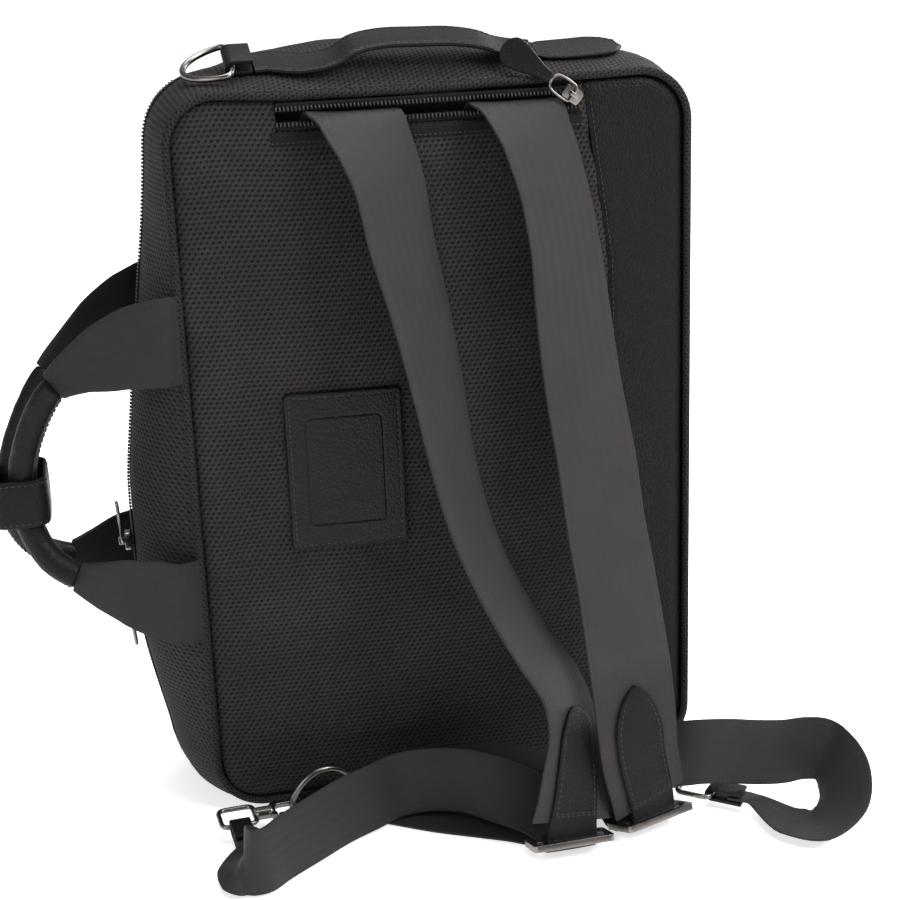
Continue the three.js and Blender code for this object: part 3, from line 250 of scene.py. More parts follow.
def walled(name, outer, inner, uvs, is_open=None, sharp=40):
    """Sheet with a wall, from two grids of points and one of pattern coordinates."""
    rows, columns = len(outer), len(outer[0])
    skin = rows * columns
    points = [p for row in outer for p in row] + [p for row in inner for p in row]
    spread = [uv for row in uvs for uv in row] * 2

    def there(i, j):
        return 0 <= i < rows - 1 and 0 <= j < columns - 1 and not (is_open and is_open(i, j))

    faces = []
    for i in range(rows - 1):
        for j in range(columns - 1):
            if not there(i, j):
                continue
            a, b = i * columns + j, (i + 1) * columns + j
            c, d = b + 1, a + 1
            faces.append((a, b, c, d))
            faces.append((a + skin, d + skin, c + skin, b + skin))
            beside = ((i, j - 1, a, b), (i + 1, j, b, c), (i, j + 1, c, d), (i - 1, j, d, a))
            faces += [(q, p, p + skin, q + skin) for row, column, p, q in beside if not there(row, column)]
    used = sorted({v for face in faces for v in face})
    index = {v: k for k, v in enumerate(used)}
    faces = [tuple(index[v] for v in face) for face in faces]
    return solid(name, [points[v] for v in used], faces, [spread[v] for v in used], sharp)


def spline(points, share):
    """Point of a centripetal curve through points, at a share of its rows."""
    last = len(points) - 1
    place = min(max(share, 0), 1) * last
    i = min(int(place), last - 1)
    w = place - i
    p1, p2 = points[i], points[i + 1]
    p0 = points[i - 1] if i > 0 else p1 * 2 - p2
    p3 = points[i + 2] if i + 2 <= last else p2 * 2 - p1
    d0, d1, d2 = (max((q - p).length_squared ** 0.25, 1e-4) for p, q in ((p0, p1), (p1, p2), (p2, p3)))
    t1 = ((p1 - p0) / d0 - (p2 - p0) / (d0 + d1) + (p2 - p1) / d1) * d1
    t2 = ((p2 - p1) / d1 - (p3 - p1) / (d1 + d2) + (p3 - p2) / d2) * d1
    return p1 + t1 * w + ((p2 - p1) * 3 - t1 * 2 - t2) * w ** 2 + ((p1 - p2) * 2 + t1 + t2) * w ** 3


def path_frames(rows, count, start=0.0, end=1.0):
    """Frames along a smooth path of [x, y, z, heading, tilt, width, thickness] rows."""
    points = [Vector(row[:3]) for row in rows]
    stops = [i / (len(rows) - 1) for i in range(len(rows))]
    column = lambda share, k: float(np.interp(share, stops, [row[k] for row in rows]))
    frames, run, before = [], 0.0, None
    for i in range(count + 1):
        share = start + (end - start) * i / count
        centre = spline(points, share)
        along = (spline(points, min(share + 1e-4, 1)) - spline(points, max(share - 1e-4, 0))).normalized()
        heading, tilt = math.radians(column(share, 3)), math.radians(column(share, 4))
        level = math.cos(tilt)
        hint = Vector((level * math.cos(heading), level * math.sin(heading), math.sin(tilt)))
        across = (hint - along * hint.dot(along)).normalized()
        run += (centre - before).length if before else 0.0
        before = centre
        frames.append({"centre": centre, "across": across, "normal": across.cross(along).normalized(),
                       "width": column(share, 5), "thick": column(share, 6), "run": run})
    return frames


def sweep(name, frames, ring_of, sharp=40):
    """Closed piece swept through frames."""
    points, uvs = [], []
    for i, f in enumerate(frames):
        ring = ring_of(f, i / (len(frames) - 1))
        for a, b in ring:
            points.append(f["centre"] + f["across"] * a + f["normal"] * b)
            uvs.append((a, f["run"]))
    sides = len(points) // len(frames)
    faces = []
    for i in range(len(frames) - 1):
        for k in range(sides):
            a, b = i * sides + k, i * sides + (k + 1) % sides
            faces.append((a, b, b + sides, a + sides))
    faces.append(tuple(range(sides - 1, -1, -1)))
    faces.append(tuple((len(frames) - 1) * sides + k for k in range(sides)))
    return solid(name, points, faces, uvs, sharp)


def strip_ring(half, depth, crown=0.0, columns=8):
    """Section of webbing or of a leather strip, with rounded edges and a slight crown."""
    top = []
    for k in range(columns + 1):
        s = -1 + 2 * k / columns
        top.append((s * (half - depth), depth + crown * (1 - s * s)))
    bottom = [(a, b - 2 * depth) for a, b in reversed(top)]
    right = [(half - depth * 0.3, depth * 0.7), (half, 0.0), (half - depth * 0.3, -depth * 0.7)]
    left = [(-a, b) for a, b in reversed(right)]
    return top + right + bottom + left


def merged_copy(name, node, is_wire=False):
    """A copy of a CAD node's mesh with its loose triangles joined."""
    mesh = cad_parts[node].data.copy()
    mesh.name = name
    shape = bmesh.new()
    shape.from_mesh(mesh)
    bmesh.ops.remove_doubles(shape, verts=shape.verts, dist=1e-6)
    if is_wire:
        bmesh.ops.join_triangles(shape, faces=shape.faces, angle_face_threshold=math.radians(25),
                                 angle_shape_threshold=math.radians(60), cmp_seam=False)
    else:
        bmesh.ops.dissolve_limit(shape, angle_limit=math.radians(1), verts=shape.verts, edges=shape.edges)
    bmesh.ops.recalc_face_normals(shape, faces=shape.faces)
    shape.to_mesh(mesh)
    shape.free()
    mesh.materials.clear()
    return new_object(name, mesh)


def applied(obj):
    """The object with its modifiers made part of its mesh."""
    view = bpy.context.evaluated_depsgraph_get()
    view.update()
    mesh = bpy.data.meshes.new_from_object(obj.evaluated_get(view), depsgraph=view)
    obj.modifiers.clear()
    obj.data = mesh
    return obj


def rounded_copy(name, node, bevel=0.5, steps=3):
    """A CAD node's shape with its edges rounded, in millimetres."""
    obj = merged_copy(name, node)
    edge = obj.modifiers.new("Edges", "BEVEL")
    edge.width, edge.segments, edge.limit_method = bevel * MM, steps, "ANGLE"
    edge.angle_limit = math.radians(28)
    edge.harden_normals = False
    applied(obj)
    obj.data.shade_smooth()
    obj.data.set_sharp_from_angle(angle=math.radians(45))
    return obj


def wire_copy(name, node, grow):
    """A CAD wire with its facets rounded, and grown a little because rounding thins it."""
    obj = merged_copy(name, node, True)
    shift = [v.normal * grow * MM for v in obj.data.vertices]
    for v, off in zip(obj.data.vertices, shift):
        v.co += off
    soft = obj.modifiers.new("Round", "SUBSURF")
    soft.levels = soft.render_levels = 2
    applied(obj)
    obj.data.shade_smooth()
    return obj


def cast_copy(name, node):
    """A CAD fitting's shape as a casting: remeshed finely and smoothed."""
    obj = merged_copy(name, node)
    fine = obj.modifiers.new("Fine", "REMESH")
    fine.mode, fine.voxel_size = "VOXEL", 0.45 * MM
    soft = obj.modifiers.new("Soft", "SMOOTH")
    soft.factor, soft.iterations = 0.5, 6
    applied(obj)
    obj.data.shade_smooth()
    return obj


def place(obj, finish, node=None, slot=None, body="bag"):
    """Gives a piece its material and its body, and hides the CAD node that it stands for. The slot argument is
    not used.
    """
    obj.data.materials.clear()
    obj.data.materials.append(finish)
    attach(obj, body)
    if node:
        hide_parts(node)
    return obj


def metal(obj, node, body="bag"):
    return place(obj, finishes()["metal"], node, "gunmetal", body)


def leather(obj, node, look="trim", body="bag"):
    return place(obj, finishes()[look], node, "leather", body)


def webbed(obj, node, look):
    return place(obj, finishes()[look], node, "webbing")


# Finishes

class Wire:
    """A node's socket that can be used in an expression."""

    def __init__(self, finish, socket):
        self.finish, self.socket = finish, socket

    def _math(self, kind, *values):
        return self.finish.node("ShaderNodeMath", {"operation": kind}, *values)

    def __add__(self, other):
        return self._math("ADD", self, other)

    def __sub__(self, other):
        return self._math("SUBTRACT", self, other)

    def __rsub__(self, other):
        return self._math("SUBTRACT", other, self)

    def __mul__(self, other):
        return self._math("MULTIPLY", self, other)

    def __truediv__(self, other):
        return self._math("DIVIDE", self, other)

    def __pow__(self, other):
        return self._math("POWER", self, other)

    def __abs__(self):
        return self._math("ABSOLUTE", self)

    __radd__ = __add__
    __rmul__ = __mul__

    def cos(self):
        return self._math("COSINE", self)

    def fract(self):
        return self._math("FRACT", self)

    def clamp(self, low, high):
        """0 at low and below, 1 at high and above, and smooth between."""
        smooth = {"interpolation_type": "SMOOTHSTEP"}
        return self.finish.node("ShaderNodeMapRange", smooth, self, low, high, 0.0, 1.0)


class Finish:
    """A procedural material."""

    def __init__(self, name, roughness=0.6, metallic=0.0, coat=0.0, coat_roughness=0.2, shine=0.5):
        self.material = bpy.data.materials.new(name)
        self.material.use_nodes = True
        self.tree = self.material.node_tree
        self.tree.nodes.clear()
        self.surface = self.tree.nodes.new("ShaderNodeBsdfPrincipled")
        output = self.tree.nodes.new("ShaderNodeOutputMaterial")
        self.tree.links.new(self.surface.outputs["BSDF"], output.inputs["Surface"])
        constants = {
            "Roughness": roughness, "Metallic": metallic, "Coat Weight": coat,
            "Coat Roughness": coat_roughness, "Sheen Weight": 0.0, "IOR": 1.45, "Specular IOR Level": shine}
        for socket, value in constants.items():
            self.surface.inputs[socket].default_value = value

    def node(self, kind, settings, *values, out=0, **named):
        """A node of a kind with its settings, and the values or wires of its sockets."""
        node = self.tree.nodes.new(kind)
        for key, value in settings.items():
            setattr(node, key, value)
        sockets = [(node.inputs[i], value) for i, value in enumerate(values)]
        sockets += [(node.inputs[key.replace("_", " ")], value) for key, value in named.items()]
        for socket, value in sockets:
            if isinstance(value, Wire):
                self.tree.links.new(value.socket, socket)
            else:
                socket.default_value = value
        return Wire(self, node.outputs[out])

    def place(self):
        """The place on the piece, in metres."""
        return self.node("ShaderNodeTexCoord", {}, out="Object")

    def spread(self):
        """Across and along the cloth, in metres."""
        plane = self.node("ShaderNodeUVMap", {"uv_map": "UVMap"})
        across = self.node("ShaderNodeSeparateXYZ", {}, plane)
        return across, Wire(self, across.socket.node.outputs[1])

    def noise(self, where, pitch, detail=2.0, rough=0.5):
        return self.node("ShaderNodeTexNoise", {}, Vector=where, Scale=1 / pitch, Detail=detail,
                         Roughness=rough, out="Fac")

    def mix(self, share, low, high):
        node = self.tree.nodes.new("ShaderNodeMix")
        node.data_type = "RGBA"
        for socket, value in ((node.inputs[0], share), (node.inputs[6], low), (node.inputs[7], high)):
            if isinstance(value, Wire):
                self.tree.links.new(value.socket, socket)
            else:
                socket.default_value = value if socket.type == "VALUE" else (*value[:3], 1.0)
        return Wire(self, node.outputs[2])

    def paint(self, colour, height, depth, roughness=None):
        """Joins what varies over the surface to the shader."""
        self.tree.links.new(colour.socket, self.surface.inputs["Base Color"])
        if roughness is not None:
            self.tree.links.new(roughness.socket, self.surface.inputs["Roughness"])
        bump = self.node("ShaderNodeBump", {}, Height=height, Distance=depth, Strength=1.0)
        self.tree.links.new(bump.socket, self.surface.inputs["Normal"])
        return self.material


def shade(colour, factor):
    return tuple(min(c * factor, 1.0) for c in colour[:3])


def bumped_cloth(name, colour, across=0.0033, along=0.0027, depth=0.00055):
    """Heavy nylon woven in slanted ridges, with staggered gaps between them; its colour follows the ridges,
    with painted shade in the gaps and painted light on the ridge tops and on one slant.
    """
    f = Finish(name, roughness=0.72, shine=0.14)
    x, y = f.spread()
    a, b = x * (TAU / across), y * (TAU / along)
    lattice = ((a + b * 0.5).cos() + (a - b * 0.5).cos() + b.cos()) * (1 / 3)
    # painted light: slant lights one slanted side of every ridge in colour, and also deepens the relief there
    slant = (a + b * 0.5).cos() * 0.5 + 0.5
    bump = (1 - lattice.clamp(-0.08, 0.72)) * (0.62 + 0.38 * slant)
    threads = (y * (TAU / 0.00045) + lattice * 2.0).cos() * 0.5 + 0.5
    where = f.place()
    patches = f.noise(where, 0.05, 3.0)
    grit = f.noise(where, 0.0012, 2.0)
    # painted shade for the gaps between ridges and painted light for the ridge tops, each toned by the random
    # patches
    painted_gap_shade = f.mix(patches.clamp(0.3, 0.75), shade(colour, 0.22), shade(colour, 0.32))
    light = f.mix(patches.clamp(0.3, 0.75), shade(colour, 1.3), shade(colour, 1.75))
    # body mixes the gaps' painted shade and the ridges' painted light by bump, varied by thread lines and grit
    body = f.mix(bump * (0.72 + 0.28 * threads) * (0.75 + 0.5 * grit), painted_gap_shade, light)
    height = bump + threads * 0.10 + grit * 0.12
    rough = 0.62 + 0.22 * (1 - bump) + 0.1 * grit
    return f.paint(body, height, depth, rough)


def webbing(name, colour, half, pitch=0.00125, depth=0.00022):
    """Satin webbing: fine cords side by side, crossed by a shallow weft, with a firm selvedge."""
    f = Finish(name, roughness=0.42, shine=0.24)
    x, y = f.spread()
    where = f.place()
    drift = f.noise(where, 0.03, 2.0)
    fold = abs((x * (1 / 0.0062)).fract() - 0.5)
    twill = ((y + fold * 0.0042) * (TAU / pitch)).cos() * 0.5 + 0.5
    cords = (x * (TAU / 0.0011)).cos() * 0.5 + 0.5
    edge = abs(x).clamp(half - 0.0022, half - 0.0012)
    grit = f.noise(where, 0.0007, 2.0)
    weave = twill * 0.55 + cords * 0.3 + grit * 0.25
    low = f.mix(drift.clamp(0.3, 0.7), shade(colour, 0.62), shade(colour, 0.74))
    high = f.mix(drift.clamp(0.3, 0.7), shade(colour, 1.12), shade(colour, 1.32))
    body = f.mix(weave * (1 - 0.35 * edge), low, high)
    rough = 0.44 + 0.2 * (1 - twill) + 0.12 * drift
    return f.paint(body, weave + edge * 0.9, depth, rough)


def pebbled_leather(name, colour, cell=0.0013, depth=0.00022, shine=0.38, coat=0.0):
    """Full-grain leather with small pebbles, soft creases and a low polish."""
    f = Finish(name, roughness=shine, coat=coat, coat_roughness=0.28, shine=0.15)
    where = f.place()
    warp = f.noise(where, 0.006, 3.0)
    bent = f.node("ShaderNodeVectorMath", {"operation": "ADD"}, where,
                  f.node("ShaderNodeCombineXYZ", {}, warp * 0.0011, warp * -0.0008, warp * 0.0009))
    cells = f.node("ShaderNodeTexVoronoi", {"feature": "SMOOTH_F1"}, Vector=bent, Scale=1 / cell,
                   Smoothness=0.35, out="Distance")
    pores = f.noise(where, 0.0004, 2.0)
    creases = f.noise(where, 0.012, 4.0, 0.6)
    folds = f.noise(where, 0.045, 2.0)
    pebble = 1 - cells.clamp(0.15, 0.85)
    body = f.mix(pebble * (0.6 + 0.4 * folds), shade(colour, 0.6), shade(colour, 1.35))
    height = pebble + creases * 0.8 + pores * 0.08
    rough = shine + 0.16 * (1 - pebble) + 0.16 * (creases - 0.5) + 0.08 * folds
    return f.paint(body, height, depth, rough)


def plain_cloth(name, colour, pitch=0.0007, depth=0.00012):
    """Fine plain weave of linings and tapes."""
    f = Finish(name, roughness=0.8, shine=0.15)
    x, y = f.spread()
    weave = (x * (TAU / pitch)).cos() * (y * (TAU / pitch)).cos() * 0.5 + 0.5
    patches = f.noise(f.place(), 0.02, 3.0)
    body = f.mix(weave * 0.7 + patches * 0.3, shade(colour, 0.6), shade(colour, 1.5))
    return f.paint(body, weave, depth, 0.7 + 0.2 * patches)


def dark_nickel(name, colour, shine=0.24):
    """Dark plated metal, with faint smears and lighter sharp convex edges."""
    f = Finish(name, roughness=shine, metallic=1.0)
    where = f.place()
    smear = f.noise(where, 0.006, 4.0, 0.6)
    fine = f.noise(where, 0.0007, 2.0)
    # sharp convex edges, found by pointiness, get a lighter colour
    convex_edges = f.node("ShaderNodeNewGeometry", {}, out="Pointiness").clamp(0.52, 0.6)
    body = f.mix(convex_edges, shade(colour, 0.85), shade(colour, 1.9))
    rough = shine - 0.08 + 0.22 * smear + 0.05 * fine
    return f.paint(f.mix(smear * 0.3, body, shade(colour, 0.7)), fine * 0.4 + smear, 0.00003, rough)


def waxed_thread(name, colour):
    """Twisted thread."""
    f = Finish(name, roughness=0.45, shine=0.3)
    where = f.place()
    twist = f.noise(where, 0.0005, 1.0)
    return f.paint(f.mix(twist, shade(colour, 0.7), shade(colour, 1.6)), twist, 0.0001)


def coil_nylon(name, colour):
    """Zip coils, smooth, with a fine random grain in tone and roughness."""
    f = Finish(name, roughness=0.3, coat=0.1)
    where = f.place()
    grain = f.noise(where, 0.0016, 2.0)
    return f.paint(f.mix(grain, shade(colour, 0.7), shade(colour, 1.8)), grain, 0.00005, 0.24 + 0.2 * grain)


# What repeats along a path

def run_tree(name, finish):
    """Node tree that sets one small capsule or tooth at every pitch along a path of edges."""
    tree = bpy.data.node_groups.new(name, "GeometryNodeTree")
    face = tree.interface
    face.new_socket("Geometry", in_out="INPUT", socket_type="NodeSocketGeometry")
    sizes = {"Pitch": 0.003, "Length": 0.002, "Width": 0.0006, "Height": 0.0004, "Turn": 0.0, "Play": 0.05}
    for label, value in sizes.items():
        face.new_socket(label, in_out="INPUT", socket_type="NodeSocketFloat").default_value = value
    face.new_socket("Geometry", in_out="OUTPUT", socket_type="NodeSocketGeometry")

    def node(kind, settings=None, **links):
        made = tree.nodes.new(kind)
        for key, value in (settings or {}).items():
            setattr(made, key, value)
        for key, value in links.items():
            socket = made.inputs[key.replace("_", " ")]
            if isinstance(value, bpy.types.NodeSocket):
                tree.links.new(value, socket)
            else:
                socket.default_value = value
        return made

    given = node("NodeGroupInput").outputs
    line = node("GeometryNodeMeshToCurve", Mesh=given["Geometry"])
    even = node("GeometryNodeResampleCurve", {"mode": "LENGTH"},
                Curve=line.outputs["Curve"], Length=given["Pitch"])
    up = node("GeometryNodeInputNamedAttribute", {"data_type": "FLOAT_VECTOR"}, Name="up")
    along = node("GeometryNodeInputTangent")
    axes = node("FunctionNodeAxesToRotation", {"primary_axis": "X", "secondary_axis": "Z"},
                Primary_Axis=along.outputs[0], Secondary_Axis=up.outputs["Attribute"])
    turn = node("ShaderNodeCombineXYZ", Z=given["Turn"])
    spin = node("FunctionNodeEulerToRotation", Euler=turn.outputs[0])
    turned = node("FunctionNodeRotateRotation", {"rotation_space": "LOCAL"},
                  Rotation=axes.outputs[0], Rotate_By=spin.outputs[0])
    size = node("ShaderNodeCombineXYZ", X=given["Length"], Y=given["Width"], Z=given["Height"])
    chance = node("FunctionNodeRandomValue", {"data_type": "FLOAT"}, Seed=7)
    for kind, socket in (("SUBTRACT", chance.inputs[2]), ("ADD", chance.inputs[3])):
        limit = node("ShaderNodeMath", {"operation": kind})
        limit.inputs[0].default_value = 1.0
        tree.links.new(given["Play"], limit.inputs[1])
        tree.links.new(limit.outputs[0], socket)
    bead = node("GeometryNodeMeshUVSphere", Segments=8, Rings=5, Radius=0.5)
    stretched = node("ShaderNodeVectorMath", {"operation": "SCALE"})
    tree.links.new(size.outputs[0], stretched.inputs[0])
    tree.links.new(chance.outputs[1], stretched.inputs["Scale"])
    spots = node("GeometryNodeInstanceOnPoints", Points=even.outputs["Curve"], Instance=bead.outputs["Mesh"],
                 Rotation=turned.outputs[0], Scale=stretched.outputs[0])
    real = node("GeometryNodeRealizeInstances", Geometry=spots.outputs[0])
    round_shade = node("GeometryNodeSetShadeSmooth", Geometry=real.outputs[0])
    dressed = node("GeometryNodeSetMaterial", Geometry=round_shade.outputs[0], Material=finish)
    out = node("NodeGroupOutput")
    tree.links.new(dressed.outputs[0], out.inputs[0])
    return tree


def run_of(name, tree, lines, sizes):
    """Object with copies along lines, each a list of (point, up) in millimetres."""
    points, edges, ups = [], [], []
    for line in lines:
        first = len(points)
        points += [tuple(p * MM) for p, _ in line]
        ups += [tuple(u) for _, u in line]
        edges += [(first + i, first + i + 1) for i in range(len(line) - 1)]
    mesh = bpy.data.meshes.new(name)
    mesh.from_pydata(points, edges, [])
    layer = mesh.attributes.new("up", "FLOAT_VECTOR", "POINT")
    layer.data.foreach_set("vector", np.array(ups, dtype=np.float32).ravel())
    obj = new_object(name, mesh)
    copies = obj.modifiers.new("Copies", "NODES")
    copies.node_group = tree
    for item in tree.interface.items_tree:
        if item.in_out == "INPUT" and item.name in sizes:
            copies[item.identifier] = sizes[item.name]
    return applied(obj)


# Sizes and colours that can be changed

def colour_of(label, text, default):
    return bpy.props.FloatVectorProperty(
        name=label, description=text, subtype="COLOR", size=3, min=0, max=1, default=default)


def length_of(label, text, default, low, high):
    return bpy.props.FloatProperty(
        name=label, description=text, default=default, min=low, max=high, unit="LENGTH", precision=4)


class BackpackColours(bpy.types.PropertyGroup):
    """Colours of the bag's stuffs."""

    cloth: colour_of("Cloth", "Body cloth", (0.0185, 0.0156, 0.0166))
    leather: colour_of("Leather", "Leather trim", (0.0034, 0.0034, 0.0038))
    strap: colour_of("Webbing", "Straps and handle feet", (0.0215, 0.0185, 0.0187))
    metal: colour_of("Metal", "Rings, slides and hooks", (0.2, 0.185, 0.172))
    thread: colour_of("Thread", "Stitching", (0.02, 0.019, 0.019))


class BackpackDetail(bpy.types.PropertyGroup):
    """Sizes of the weave, the stitches and the zip teeth."""

    weave: length_of("Weave", "Pitch of the cloth's bumps", 0.0033, 0.001, 0.01)
    pebble: length_of("Pebble", "Size of the leather's pebbles", 0.0013, 0.0005, 0.004)
    stitch_pitch: length_of("Stitch pitch", "From one stitch to the next", 0.0034, 0.002, 0.01)
    stitch_length: length_of("Stitch length", "Length of a stitch", 0.0026, 0.001, 0.009)
    stitch_width: length_of("Thread width", "Width of the thread", 0.0007, 0.0003, 0.002)
    tooth_pitch: length_of("Tooth pitch", "From one zip tooth to the next", 0.0021, 0.001, 0.006)
    pucker: length_of("Pucker", "Height of the cloth's puckers", 0.0007, 0, 0.003)


FINISHES = {}
TREES = {}


def finishes():
    """The bag's materials, made once."""
    if FINISHES:
        return FINISHES
    colours, detail = bpy.context.scene.backpack_colours, bpy.context.scene.backpack_detail
    cloth, leather, strap = tuple(colours.cloth), tuple(colours.leather), tuple(colours.strap)
    FINISHES.update({
        # both cloths carry the weave's painted shade in its gaps and painted light on its ridges
        "cloth": bumped_cloth("body_cloth", cloth, detail.weave, detail.weave * 0.82),
        "piping": bumped_cloth("piping_cloth", shade(cloth, 0.8), detail.weave * 0.8, detail.weave * 0.66,
                               0.0004),
        "leather": pebbled_leather("base_leather", leather, detail.pebble),
        "trim": pebbled_leather("trim_leather", shade(leather, 1.15), detail.pebble * 0.8, 0.00016, 0.4,
                                0.03),
        "patch": pebbled_leather("patch_leather", shade(leather, 0.9), detail.pebble * 1.15, 0.00026, 0.34,
                                 0.08),
        "wide": webbing("wide_webbing", strap, WIDE / 2 * MM),
        "narrow": webbing("narrow_webbing", shade(strap, 0.92), NARROW / 2 * MM),
        "feet": webbing("handle_webbing", shade(strap, 0.55), WIDE / 2 * MM),
        "tape": plain_cloth("zip_tape_cloth", (0.006, 0.006, 0.0065)),
        "lining": plain_cloth("lining_cloth", (0.012, 0.012, 0.013), 0.001),
        "coil": coil_nylon("zip_coil", (0.010, 0.010, 0.011)),
        "metal": dark_nickel("dark_nickel", tuple(colours.metal)),
        "thread": waxed_thread("black_thread", tuple(colours.thread)),
    })
    TREES["stitch"] = run_tree("Stitch run", FINISHES["thread"])
    TREES["tooth"] = run_tree("Zip tooth run", FINISHES["coil"])
    return FINISHES


def stitches(name, lines, body="bag", share=1.0):
    """Rows of stitches along lines of (point, up)."""
    detail = bpy.context.scene.backpack_detail
    finish = finishes()["thread"]
    obj = run_of(name, TREES["stitch"], lines, {
        "Pitch": detail.stitch_pitch * share, "Length": detail.stitch_length * share,
        "Width": detail.stitch_width, "Height": detail.stitch_width * 0.8, "Play": 0.06})
    return place(obj, finish, body=body)


def teeth(name, lines, node):
    """Rows of zip teeth along lines of (point, up)."""
    detail = bpy.context.scene.backpack_detail
    finish = finishes()["coil"]
    obj = run_of(name, TREES["tooth"], lines, {
        "Pitch": detail.tooth_pitch, "Length": detail.tooth_pitch * 0.62, "Width": 0.0031, "Height": 0.0017,
        "Turn": 0.18, "Play": 0.02})
    return place(obj, finish, node, "zip_coil")


def spacing(values, counts):
    """Places from each value to the next in a count of even steps."""
    places = []
    for a, b, n in zip(values, values[1:], counts):
        places += [a + (b - a) * k / n for k in range(n)]
    return places + [values[-1]]


def panel_heights(straight):
    radius = SEAM_CORNER - RIM_INSET + TUCK
    low = [SEAM_LIFT + SEAM_CORNER - radius * math.cos(math.pi / 2 * k / 12) for k in range(12)]
    mid = spacing([SEAM_LIFT + SEAM_CORNER, SEAM_TOP - SEAM_CORNER], [straight])
    high = [SEAM_TOP - SEAM_CORNER + radius * math.cos(math.pi / 2 * k / 12) for k in range(11, -1, -1)]
    return low + mid + high


def pillow(x, z, roll=9.0, drop=3.4):
    """How far a padded panel's face falls back towards its rim."""
    t = 1 - min(max(rim_distance(x, z), 0.0) / roll, 1.0)
    return drop * (1 - math.sqrt(max(1 - t * t, 0.0)))


def pucker(x, z, seed, seam=0.0):
    """Soft waves of the cloth, strongest near its seams."""
    size = bpy.context.scene.backpack_detail.pucker / MM
    edge = math.exp(-max(min(rim_distance(x, z), abs(seam)), 0.0) / 16.0)
    fine = noise.noise(Vector((x / 13.0, z / 13.0, seed)))
    broad = noise.noise(Vector((x / 62.0, z / 78.0, seed + 5)))
    return size * (fine * edge * 1.1 + broad * 1.3)


def panel(name, finish, node, columns_of, heights, face_of, wall, shift_of, is_open=None, slot="mesh_cloth"):
    outer, inner, uvs = [], [], []
    side = math.copysign(1, -face_of(0, 200))
    for z in heights:
        xs = columns_of(z)
        outer.append([Vector((x, face_of(x, z), z + shift_of(x, z))) for x in xs])
        inner.append([Vector((x, face_of(x, z) + wall * side, z + shift_of(x, z))) for x in xs])
        uvs.append([(x, z) for x in xs])
    obj = walled(name, outer, inner, uvs, is_open)
    place(obj, finish, node, slot)
    return obj


BUCKLES = {}
SET_BACK, SEAM_DEPTH, SEAM_WIDTH = 0.35, 0.9, 1.8
MOUTH_COLUMNS = (22, 54, 6)  # left of the strap pocket's mouth, under it and right of it
PANEL_STEPS, BAND_COLUMNS = 96, 16


def buckled(name, span, rise, face_of, is_held, cap=2.6):
    """How far cloth cut a little too large stands off a face, simulated on a coarse grid."""
    columns, rows, last = 48, 68, 20
    xs, zs = np.linspace(*span, columns), np.linspace(*rise, rows)
    start = lambda x, z: face_of(x, z) + 0.5 * noise.noise(Vector((x / 24, z / 19, 2)))
    points = [(x * MM, start(x, z) * MM, z * MM) for z in zs for x in xs]
    faces = [(k, k + 1, k + 1 + columns, k + columns)
             for i in range(rows - 1) for k in range(i * columns, (i + 1) * columns - 1)]
    mesh = bpy.data.meshes.new(name)
    mesh.from_pydata(points, [], faces)
    obj = new_object(name, mesh)
    held = [i * columns + j for i, z in enumerate(zs) for j, x in enumerate(xs)
            if i in (0, rows - 1) or j in (0, columns - 1) or is_held(x, z)]
    obj.vertex_groups.new(name="held").add(held, 1.0, "REPLACE")
    cloth = obj.modifiers.new("Cloth", "CLOTH")
    stuff = cloth.settings
    stuff.vertex_group_mass = "held"
    stuff.shrink_min = -0.02
    stuff.tension_stiffness = stuff.compression_stiffness = 20
    stuff.bending_stiffness = 1.5
    stuff.effector_weights.gravity = 0
    cloth.point_cache.frame_start, cloth.point_cache.frame_end = 1, last
    scene = bpy.context.scene
    for number in range(1, last + 1):
        scene.frame_set(number)
    view = bpy.context.evaluated_depsgraph_get()
    settled = np.array([v.co.y / MM for v in obj.evaluated_get(view).data.vertices]).reshape(rows, columns)
    scene.frame_set(1)
    bpy.data.objects.remove(obj)
    off = np.clip(settled - np.array([p[1] / MM for p in points]).reshape(rows, columns), -cap, cap)

    def at(x, z):
        u = min(max((x - span[0]) / (span[1] - span[0]), 0), 0.9999) * (columns - 1)
        v = min(max((z - rise[0]) / (rise[1] - rise[0]), 0), 0.9999) * (rows - 1)
        i, j = int(v), int(u)
        a, b = v - i, u - j
        low, high = (off[row, j] * (1 - b) + off[row, j + 1] * b for row in (i, i + 1))
        return float(low * (1 - a) + high * a)

    return at


def settle():
    """Simulates the two panels' cloth once."""
    span = (-HALF_WIDTH + RIM_INSET, HALF_WIDTH - BASE_BAND)
    rise = (SEAM_LIFT + RIM_INSET, SEAM_TOP - RIM_INSET)
    under_patch = lambda x, z: all(
        abs(p - at) < size / 2 + 3 for p, at, size in zip((x, z), PATCH_AT, PATCH_SIZE))
    held = lambda x, z: under_patch(x, z) or z > MOUTH_LOW - 12
    BUCKLES["near"] = buckled("near_cloth", span, rise, near_face, held)
    BUCKLES["far"] = buckled("far_cloth", span, rise, lambda x, z: -near_face(x, z), lambda x, z: False)


def groove(seam):
    """How far a panel lies back from its CAD face, deepest at the seam between cloth and leather."""
    return SET_BACK + SEAM_DEPTH * math.exp(-(seam / SEAM_WIDTH) ** 2)


def near_y(x, z):
    seam = band_edge(z) - x
    face = near_face(x, z) + pillow(x, z) + groove(seam)
    if seam <= 0:
        return face + 0.28 * pucker(x, z, 9, seam)
    past_patch = max(0, *(abs(p - at) - size / 2 + 3 for p, at, size in zip((x, z), PATCH_AT, PATCH_SIZE)))
    free = 1.0 - math.exp(-(past_patch / 8.0) ** 2)
    return face + max(BUCKLES["near"](x, z), -1.6) + 0.6 * free * pucker(x, z, 3, seam)


def far_y(x, z):
    seam = band_edge(z) - x
    settled = BUCKLES["far"](x, z) if seam > 0 else 0.0
    return settled - near_face(x, z) - pillow(x, z) - groove(seam) - 0.8 * pucker(x, z, 14, seam)


